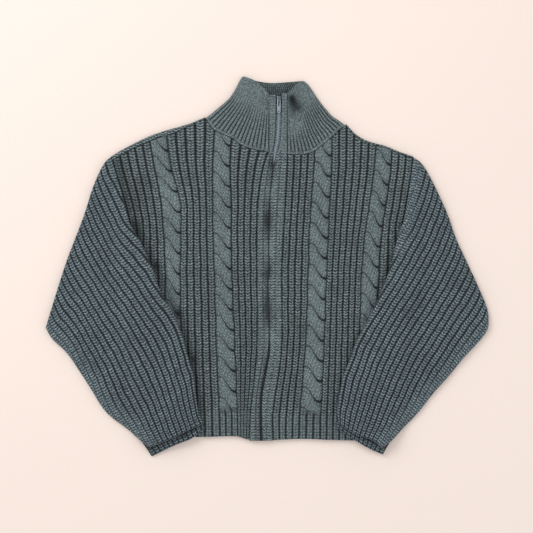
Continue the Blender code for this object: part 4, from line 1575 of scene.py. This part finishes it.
@dataclass
class PullTab:
    """The pull tab: a tapering plate with an eye for the slider's bridge and a round hole at its end.

    Args:
        y: The y of its hinge.
        hinge_z: The height of its hinge.
        length: Its length.
        width: Its width.
        wall: Its thickness.
        arm: The width of the metal on each side of the eye.
        eye: The eye's length.
        hole: The round hole's radius.
        bevel: The radius of its edges.
    """

    y: float = SLIDER_Y
    hinge_z: float = 8.95
    length: float = 21.0
    width: float = 5.5
    wall: float = 1.2
    arm: float = 1.5
    eye: float = 10.0
    hole: float = 1.1
    bevel: float = 0.22

    def _outlines(self) -> list[Points]:
        """Its outline, its eye and its hole.

        Returns:
            Three closed loops, from the hinge's end down.
        """
        half, end, shoulder = self.width / 2, self.width / 2 - 0.2, -self.eye - 1.2
        centre, inner, eye_end = -self.length + end, half - self.arm, -self.wall - self.eye
        outline = [(-half + 0.3, 0), (half - 0.3, 0), (half, -0.5), (half, shoulder)]
        outline += [(end * math.cos(a), centre - end * math.sin(a)) for a in np.linspace(0, math.pi, 13)]
        outline += [(-half, shoulder), (-half, -0.5)]
        eye = [(-inner, -self.wall), (-inner, eye_end + 1), (0, eye_end), (inner, eye_end + 1),
               (inner, -self.wall)]
        ring = [(self.hole * math.cos(a), centre + self.hole * math.sin(a))
                for a in np.linspace(0, 2 * math.pi, 16, endpoint=False)]
        return [outline, eye, ring]

    def build(self, finish: Finish) -> bpy.types.Object:
        """Makes the tab from its outlines and puts it over its CAD node.

        Args:
            finish: Its metal.

        Returns:
            The object.
        """
        x, top = float(zip_at(self.y)), self.y + self.wall / 2
        bm = bmesh.new()
        for loop in self._outlines():
            verts = [bm.verts.new(Vector((x + px, top + py, self.hinge_z - self.wall / 2)) * MM)
                     for px, py in loop]
            for a, b in zip(verts, verts[1:] + verts[:1]):
                bm.edges.new((a, b))
        bmesh.ops.triangle_fill(bm, edges=bm.edges, use_beauty=True)
        raised = bmesh.ops.extrude_face_region(bm, geom=bm.faces[:], use_keep_orig=True)["geom"]
        moved = [item for item in raised if isinstance(item, bmesh.types.BMVert)]
        bmesh.ops.translate(bm, verts=moved, vec=(0, 0, self.wall * MM))
        bmesh.ops.recalc_face_normals(bm, faces=bm.faces)
        rims = [edge for edge in bm.edges if edge.is_manifold and edge.calc_face_angle(0) > 1.2]
        bmesh.ops.bevel(bm, geom=rims, offset=self.bevel * MM, segments=2, profile=0.5, affect="EDGES",
                        material=-1)
        mesh = as_mesh("pull_tab_plate", bm)
        return dress("pull_tab_plate", mesh, finish, "pull_tab", body="pull_tab")


def colour(code: str) -> tuple[float, float, float, float]:
    """Turns an sRGB hex code into a linear colour.

    Args:
        code: The code, such as 4E5859.

    Returns:
        The colour's red, green, blue and alpha.
    """
    shares = [int(code[i : i + 2], 16) / 255 for i in (0, 2, 4)]
    linear = [share / 12.92 if share <= 0.04045 else ((share + 0.055) / 1.055) ** 2.4 for share in shares]
    return (*linear, 1.0)


def set_inputs(tree: bpy.types.NodeTree, node: bpy.types.Node, inputs: dict) -> None:
    """Sets or links a node's inputs.

    Args:
        tree: The material's nodes.
        node: The node.
        inputs: A value, or another node's output, for each input by name or number.
    """
    for name, value in inputs.items():
        if isinstance(value, bpy.types.NodeSocket):
            tree.links.new(value, node.inputs[name])
        else:
            node.inputs[name].default_value = value


def add_node(tree: bpy.types.NodeTree, kind: str, inputs: dict, **settings: object) -> bpy.types.Node:
    """Adds a node and sets or links its inputs.

    Args:
        tree: The material's nodes.
        kind: The node's type name, without its first words.
        inputs: A value, or another node's output, for each input by name or number.
        settings: The node's own settings.

    Returns:
        The node.
    """
    node = tree.nodes.new(f"ShaderNode{kind}")
    for name, value in settings.items():
        setattr(node, name, value)
    set_inputs(tree, node, inputs)
    return node


def new_material(name: str) -> tuple[Finish, bpy.types.NodeTree, bpy.types.Node, bpy.types.NodeSocket]:
    """Starts a material.

    Args:
        name: Its name.

    Returns:
        The material, its nodes, its one shader and its object coordinates.
    """
    material = bpy.data.materials.new(name)
    material.use_nodes = True
    tree = material.node_tree
    return material, tree, tree.nodes["Principled BSDF"], add_node(tree, "TexCoord", {}).outputs["Object"]


@dataclass(frozen=True)
class YarnFinish:
    """A heathered wool blend: dark and light fibres spun together, with a dull halo of loose ends.

    The scales are real sizes turned round: flecks of 2.2 mm, loops of 4.2 mm, fibres of 0.4 mm and balls
    of yarn that differ over 60 mm. The flecks and fibres are coarser than real ones so that they show.

    Args:
        name: The material's name.
        dark: The darker fibres.
        light: The lighter fibres.
        shade: The painted shade colour that the gaps between stitches are darkened towards.
        halo: The loose fibres' sheen.
        sheen: How strong that is.
        fleck_scale: The scale of the flecks.
        loop_scale: The scale of the loops.
        fuzz_scale: The scale of the loose fibres.
        ball_scale: The scale of the balls of yarn.
        ply_pitch: The twist's pitch, in rows of loops.
        leg_depth: How dark the painted shade on a loop is where it tucks under the next.
        wander: How far loops sit off their wale and row.
    """

    name: str
    dark: str
    light: str
    shade: str = "0A0D0F"
    halo: str = "B6C2C8"
    sheen: float = 0.22
    fleck_scale: float = 450.0
    loop_scale: float = 240.0
    fuzz_scale: float = 2600.0
    ball_scale: float = 16.0
    ply_pitch: float = 0.3
    leg_depth: float = 0.95
    wander: tuple[float, float, float] = (0.2, 0.6, 0.0)

    def build(self) -> Finish:
        """Makes the material.

        Returns:
            The material.
        """
        material, tree, shader, place = new_material(self.name)
        # Fibres of two greys, in flecks.
        fleck = add_node(tree, "TexNoise", {"Vector": place, "Scale": self.fleck_scale, "Detail": 3.0,
                                            "Roughness": 0.65})
        spread = add_node(tree, "MapRange", {0: fleck.outputs[0], 1: 0.36, 2: 0.64}, clamp=True)
        heather = add_node(tree, "Mix", {0: spread.outputs[0], 6: colour(self.dark), 7: colour(self.light)},
                           data_type="RGBA")
        # Balls of yarn differ a little, and so do single loops, by how tightly each was drawn.
        ball = add_node(tree, "TexNoise", {"Vector": place, "Scale": self.ball_scale, "Detail": 2.0})
        drawn = add_node(tree, "TexNoise", {"Vector": place, "Scale": self.loop_scale, "Detail": 1.0})
        uneven = add_node(tree, "Math", {0: drawn.outputs[0], 1: 1.3, 2: ball.outputs[0]},
                          operation="MULTIPLY_ADD")
        uneven_gain = add_node(tree, "MapRange", {0: uneven.outputs[0], 1: 0.7, 2: 1.6, 3: 0.78, 4: 1.22})
        # Painted shade: the light attribute darkens the gaps between stitches, the folds and edges and the
        # painted shadows towards the shade colour.
        light = add_node(tree, "Attribute", {}, attribute_name="light")
        opened = add_node(tree, "MapRange", {0: light.outputs["Fac"], 1: 0.0, 2: 0.85}, clamp=True,
                          interpolation_type="SMOOTHSTEP")
        # No two loops are drawn alike, so each sits a little off its row.
        true_wales = add_node(tree, "UVMap", {}, uv_map="wales").outputs[0]
        wales = add_node(tree, "VectorMath", {0: drawn.outputs["Color"], 1: self.wander, 2: true_wales},
                         operation="MULTIPLY_ADD").outputs[0]
        # Painted light on each loop: a painted highlight along its leg's middle and painted shade where it
        # tucks under the next, one to a row.
        # A wave texture repeats every 0.31416 / scale units, here rows, so this gives one wave to a row.
        legs = add_node(tree, "TexWave", {"Vector": wales, "Scale": 0.31416, "Phase Offset": math.pi},
                        bands_direction="Y")
        leg = add_node(tree, "Math", {0: legs.outputs["Fac"], 1: 0.8}, operation="POWER")
        loops = add_node(tree, "Attribute", {}, attribute_name="loops").outputs["Fac"]
        leg_shown = add_node(tree, "MapRange", {0: leg.outputs[0], 3: -self.leg_depth, 4: 0.45})
        leg_gain = add_node(tree, "Math", {0: leg_shown.outputs[0], 1: loops, 2: 1.0},
                            operation="MULTIPLY_ADD")
        lit = add_node(tree, "Math", {0: opened.outputs[0], 1: leg_gain.outputs[0]}, operation="MULTIPLY")
        gain = add_node(tree, "Math", {0: lit.outputs[0], 1: uneven_gain.outputs[0]}, operation="MULTIPLY")
        base = add_node(tree, "Mix", {0: gain.outputs[0], 6: colour(self.shade), 7: heather.outputs[2]},
                        data_type="RGBA", clamp_factor=False)
        # The ply's twist crosses each leg of a loop, and loose fibres lie over it.
        turned = add_node(tree, "Mapping", {"Vector": wales, "Rotation": (0, 0, 0.9)})
        ply = add_node(tree, "TexWave", {"Vector": turned.outputs[0], "Scale": 0.314 / self.ply_pitch,
                                         "Distortion": 1.2, "Detail": 1.0, "Detail Scale": 0.5})
        fuzz = add_node(tree, "TexNoise", {"Vector": place, "Scale": self.fuzz_scale, "Detail": 2.0})
        both = add_node(tree, "Math", {0: ply.outputs["Fac"], 1: 0.4, 2: fuzz.outputs[0]},
                        operation="MULTIPLY_ADD")
        deep = add_node(tree, "Math", {0: leg.outputs[0], 1: 1.6, 2: both.outputs[0]},
                        operation="MULTIPLY_ADD")
        bump = add_node(tree, "Bump", {"Strength": 0.7, "Distance": 0.0005, "Height": deep.outputs[0]})
        rough = add_node(tree, "MapRange", {0: fuzz.outputs[0], 3: 0.86, 4: 1.0})
        set_inputs(tree, shader, {
            "Base Color": base.outputs[2], "Normal": bump.outputs[0], "Roughness": rough.outputs[0],
            "Sheen Weight": self.sheen, "Sheen Roughness": 0.5, "Sheen Tint": colour(self.halo), "IOR": 1.4,
        })
        return material


@dataclass(frozen=True)
class TapeFinish:
    """Zip tape: a tight polyester weave, dyed to match the yarn. Its dull cross-hatch hides in the gap.

    Args:
        name: The material's name.
        base: The threads.
        valley: The painted shade in the gaps between them.
        pitch: The threads' spacing, twice the real one so that it shows.
        sheen: The filaments' sheen.
    """

    name: str = "zip_tape_weave"
    base: str = "A9BCC4"
    valley: str = "66757C"
    pitch: float = 0.6
    sheen: float = 0.15

    def build(self) -> Finish:
        """Makes the material.

        Returns:
            The material.
        """
        material, tree, shader, place = new_material(self.name)
        # A wave texture repeats every 0.314 / scale units, here metres, so this gives one wave to a thread.
        scale = 314.0 / self.pitch
        across, along = (
            add_node(tree, "TexWave", {"Vector": place, "Scale": scale}, bands_direction=axis).outputs["Fac"]
            for axis in "XY"
        )
        weave = add_node(tree, "Math", {0: across, 1: along}, operation="MULTIPLY").outputs[0]
        tint = add_node(tree, "Mix", {0: weave, 6: colour(self.valley), 7: colour(self.base)},
                        data_type="RGBA")
        rough = add_node(tree, "MapRange", {0: weave, 3: 0.9, 4: 0.72})
        bump = add_node(tree, "Bump", {"Strength": 0.6, "Distance": 0.0002, "Height": weave})
        set_inputs(tree, shader, {"Base Color": tint.outputs[2], "Roughness": rough.outputs[0],
                                  "Normal": bump.outputs[0], "Sheen Weight": self.sheen})
        return material


@dataclass(frozen=True)
class MetalFinish:
    """Nickel plate over cast zinc or stamped wire: satin, a little cloudy, with fine rubbed scratches.

    The tab is bright, the slider is plated dark, and the teeth are tumbled, so they gleam more softly.
    The scales are real sizes turned round: clouds of 2.4 mm and scratches of 0.2 mm.

    Args:
        name: The material's name.
        base: The clean plate.
        smoothest: The roughness of the smoothest places.
        dullest: The roughness of the dullest.
        cloudy: The handled plate.
        cloud_scale: The scale of the clouds.
        scratch_scale: The scale of the scratches.
    """

    name: str
    base: str
    smoothest: float
    dullest: float
    cloudy: str = "8E9599"
    cloud_scale: float = 420.0
    scratch_scale: float = 5200.0

    def build(self) -> Finish:
        """Makes the material.

        Returns:
            The material.
        """
        material, tree, shader, place = new_material(self.name)
        clouds = add_node(tree, "TexNoise", {"Vector": place, "Scale": self.cloud_scale, "Detail": 4.0})
        cloud = clouds.outputs[0]
        rough = add_node(tree, "MapRange", {0: cloud, 1: 0.3, 2: 0.7, 3: self.smoothest, 4: self.dullest})
        tint = add_node(tree, "Mix", {0: cloud, 6: colour(self.cloudy), 7: colour(self.base)},
                        data_type="RGBA")
        drawn = add_node(tree, "Mapping", {"Vector": place, "Scale": (1.0, 0.12, 1.0)})
        scratch = add_node(tree, "TexNoise", {"Vector": drawn.outputs[0], "Scale": self.scratch_scale,
                                              "Detail": 2.0})
        bump = add_node(tree, "Bump", {"Strength": 0.25, "Distance": 0.00003, "Height": scratch.outputs[0]})
        set_inputs(tree, shader, {"Base Color": tint.outputs[2], "Roughness": rough.outputs[0],
                                  "Normal": bump.outputs[0], "Metallic": 1.0})
        return material


@dataclass(frozen=True)
class TableFinish:
    """A painted table top: pale, even and matt, with the slight mottle of rolled paint.

    Args:
        name: The material's name.
        low: The mottle's darker places.
        high: Its lighter places.
        mottle_scale: Its scale, for spots of 4 mm.
        roughness: The paint's roughness.
    """

    name: str = "painted_table"
    low: str = "F0DED3"
    high: str = "F4E4DA"
    mottle_scale: float = 240.0
    roughness: float = 0.9

    def build(self) -> Finish:
        """Makes the material.

        Returns:
            The material.
        """
        material, tree, shader, place = new_material(self.name)
        mottle = add_node(tree, "TexNoise", {"Vector": place, "Scale": self.mottle_scale, "Detail": 3.0})
        tint = add_node(tree, "Mix", {0: mottle.outputs[0], 6: colour(self.low), 7: colour(self.high)},
                        data_type="RGBA")
        set_inputs(tree, shader, {"Base Color": tint.outputs[2], "Roughness": self.roughness})
        return material


@dataclass
class Studio:
    """The table, the soft lights and the camera overhead. Its lengths are in metres.

    Args:
        centre: The point under the camera.
        camera_height: The camera's height.
        view_width: The width of the picture at aim_height.
        aim_height: The height of the cloth that the picture is measured at.
        table_size: Half the table's width.
        table_top: The height of the table's face, just clear of the cardigan.
        key: The main light's power, size and place.
        fill: The second light's.
        sky: The strength of the light all round.
        sky_colour: Its colour.
    """

    centre: tuple[float, float] = (-0.0031, 0.0)
    camera_height: float = 2.2
    view_width: float = 0.826
    aim_height: float = 0.008
    table_size: float = 3.0
    table_top: float = -0.0002
    key: tuple[float, float, tuple[float, float, float]] = (32.0, 1.4, (-1.3, 1.5, 1.7))
    fill: tuple[float, float, tuple[float, float, float]] = (8.0, 2.4, (1.8, -1.0, 1.6))
    sky: float = 0.84
    sky_colour: str = "F4F6F8"

    def _light(self, name: str, energy: float, size: float, place: Sequence[float]) -> None:
        """Adds a square soft light that faces the cardigan.

        Args:
            name: Its name.
            energy: Its power.
            size: Its side.
            place: Where it hangs.
        """
        data = bpy.data.lights.new(name, "AREA")
        data.energy = energy
        data.size = size
        light = bpy.data.objects.new(name, data)
        light.location = place
        light.rotation_euler = (-Vector(place)).to_track_quat("-Z", "Y").to_euler()
        bpy.context.scene.collection.objects.link(light)

    def build(self) -> None:
        """Sets the stage."""
        scene = bpy.context.scene
        bm = bmesh.new()
        bmesh.ops.create_grid(bm, x_segments=1, y_segments=1, size=self.table_size,
                              matrix=Matrix.Translation((0, 0, self.table_top)))
        mesh = as_mesh("table_top", bm)
        mesh.materials.append(TableFinish().build())
        table = bpy.data.objects.new("table_top", mesh)
        scene.collection.objects.link(table)
        self._light("key_light", *self.key)
        self._light("fill_light", *self.fill)
        world = bpy.data.worlds.new("pale_room")
        world.use_nodes = True
        background = world.node_tree.nodes["Background"]
        background.inputs["Color"].default_value = colour(self.sky_colour)
        background.inputs["Strength"].default_value = self.sky
        scene.world = world
        scene.view_settings.view_transform = "Standard"
        data = bpy.data.cameras.new("camera")
        data.lens = data.sensor_width * (self.camera_height - self.aim_height) / self.view_width
        camera = bpy.data.objects.new("camera", data)
        camera.location = (*self.centre, self.camera_height)
        scene.collection.objects.link(camera)
        scene.camera = camera


RIGHT_FRONT = FrontPanel(
    side=Side.RIGHT,
    guide_y=(-270, -229, -129, -5, 57, 103, 157, 212),
    guides={
        "band": (-30, -28, -18, -18, -18, -16, -7, 12),
        "inner_cable_near": (-47, -48, -52, -57, -58, -58, -60, -57),
        "inner_cable_far": (-75, -76, -80, -84, -86, -86, -86, -83),
        "outer_cable_near": (-134, -134, -136, -137, -136, -138, -152, -160),
        "outer_cable_far": (-159, -159, -160, -160, -163, -167, -177, -187),
        "edge": (-184, -187, -204, -218, -214, -224, -240, -250),
    },
    ribs=(4, 0, 5, 0, 5),
    cable_shift={1: 0.74, 3: -0.02},
    shoulder=((-254, 165), (-246, 170), (-226, 182), (-205, 193), (-181, 204), (-153, 213),
              (-125, 221), (-98, 232)),
    neckline=((-97.5, 230), (-92, 221), (-86, 213), (-70, 205), (-55, 198), (-40, 187), (-21, 181), (4, 177)),
    roll=((-254, 8), (-145, 8), (-130, 5), (-115, 2.5), (-98, 1.2)),
    creases=(
        (-178, 98, -174, -8, 5, -1.4),
        (-194, 92, -190, 30, 9, 2.6),
        (-206, 150, -204, 96, 10, -1.0),
        (-47, -135, -44, -262, 5, 1.5),
        (-112, 120, -112, -60, 16, 0.6),
    ),
    shadows=(
        (-196, 132, -206, 48, 12, 0.25),
        (-232, 158, -222, 96, 14, 0.38),
        (-208, 66, -175, 2, 8, 0.4),
        (-174, 0, -140, -72, 8, 0.4),
        (-139, -74, -117, -143, 8, 0.4),
        (-116, -145, -103, -226, 6, 0.35),
    ),
)
LEFT_FRONT = FrontPanel(
    side=Side.LEFT,
    guide_y=(-270, -229, -129, -5, 57, 103, 157, 212),
    guides={
        "band": (7, 6.5, 20, 20.5, 23.5, 26, 29, 29),
        "inner_cable_near": (47, 48.5, 57, 62, 64, 67, 71, 74),
        "inner_cable_far": (80, 81, 86, 90, 93, 95, 98, 98),
        "outer_cable_near": (139, 139.5, 141, 145, 151, 158, 165, 168),
        "outer_cable_far": (167, 167, 168, 171, 176, 183, 190, 191),
        "edge": (182, 185, 199, 213, 208, 215, 223, 226),
    },
    ribs=(4, 0, 6, 0, 3),
    cable_shift={1: 0.24, 3: -0.33},
    shoulder=((119.5, 222), (136, 205), (154, 195), (182, 187), (201, 179), (227, 170), (234, 166)),
    neckline=((22, 174), (40, 173.5), (57, 174), (71, 179), (94, 197), (110, 212), (119, 219)),
    roll=((119, 3), (234, 3)),
    creases=((168, 120, 160, 40, 14, 0.9), (80, 60, 78, -120, 20, 0.6)),
    shadows=((205, 66, 180, -21, 6, 0.25), (178, -23, 150, -83, 6, 0.25), (148, -85, 108, -208, 6, 0.25)),
)
RIGHT_SLEEVE = Sleeve(
    side=Side.RIGHT,
    front=RIGHT_FRONT,
    seam_stops=(171.5, 156, 140, 124, 108),
    elbow_to_shoulder=((-346, -95), (-332, -49), (-314, 7), (-300, 44), (-286, 81), (-274, 119),
                       (-263, 146), (-257, 157), (-252, 164)),
    elbow_to_cuff=((-346, -95), (-336, -112), (-314, -133), (-295, -160), (-277, -188), (-252, -226),
                   (-218, -253), (-197, -271), (-185, -280)),
    fold_to_cuff=((-215, 69), (-199, 41), (-181, 2), (-167, -38), (-146, -74), (-133, -105),
                  (-123, -143), (-115, -171), (-112, -199), (-108, -224), (-100, -243)),
    cuff_upper=((-185, -280), (-143, -263), (-122, -252), (-100, -243)),
    cuff_lower=((-181, -295), (-145, -277), (-119, -266), (-98, -251)),
    creases=((-300, -108, -262, -153, 5, -1.8), (-310, -100, -275, -148, 7, 1.0)),
)
LEFT_SLEEVE = Sleeve(
    side=Side.LEFT,
    front=LEFT_FRONT,
    seam_stops=(169, 154, 139, 124, 108),
    elbow_to_shoulder=((342, -90), (340, -67), (325, -30), (308, 7), (291, 44), (278, 81), (261, 119),
                       (247, 146), (240, 157), (233, 164.5)),
    elbow_to_cuff=((342, -90), (339, -100), (329, -114), (303, -142), (280, -170), (255, -198),
                   (233, -226), (207, -253), (188, -272), (176, -281)),
    fold_to_cuff=((209, 72), (201, 50), (191, 10), (181, -21), (162, -66), (153, -83), (136, -115),
                  (126, -142), (115, -171), (108, -208), (106, -226), (108, -243)),
    cuff_upper=((176, -281), (160, -268), (136, -260), (108, -243)),
    cuff_lower=((177, -292), (154, -281), (126, -264), (105, -249)),
    creases=((219, 80, 277, 53, 6, -1.6), (216, 96, 268, 70, 9, 1.0)),
    smooth_fold=0.09,
)


def main() -> None:
    """Builds each piece and sets the stage."""
    logging.basicConfig(level=logging.INFO, format="%(name)s: %(message)s")
    yarn = YarnFinish("heathered_wool", "4E5859", "869496").build()
    sleeve_yarn = YarnFinish("heathered_wool_sleeves", "4E5A5E", "87979D").build()
    bright = MetalFinish("satin_nickel", "A9B9C3", 0.3, 0.45).build()
    dark = MetalFinish("gunmetal", "3E474B", 0.3, 0.45).build()
    tumbled = MetalFinish("tumbled_nickel", "B4C4CC", 0.5, 0.65).build()
    tape = TapeFinish().build()
    fronts = {Side.RIGHT: RIGHT_FRONT, Side.LEFT: LEFT_FRONT}
    collar = Collar(fronts)
    BackPanel(fronts).build(yarn)
    for front in fronts.values():
        front.build(yarn)
    for sleeve in (RIGHT_SLEEVE, LEFT_SLEEVE):
        sleeve.build(sleeve_yarn)
    collar.build(yarn)
    right_flat = (0.023, 0.537)
    FrontBand(Side.RIGHT, RIGHT_FRONT, collar, 266.0, ripple_share=0.4, sunk=0.2, flat=right_flat).build(yarn)
    FrontBand(Side.LEFT, LEFT_FRONT, collar, 268.5).build(yarn)
    for side in Side:
        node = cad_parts[f"{side.value}_zip_tape"]
        node.data.materials.clear()
        node.data.materials.append(tape)
        LOG.info("%s: %d faces of the CAD", node.name, len(node.data.polygons))
    ZipChain().build(tumbled)
    Slider().build(dark)
    PullTab().build(bright)
    Studio().build()


if __name__ == "__main__":
    main()
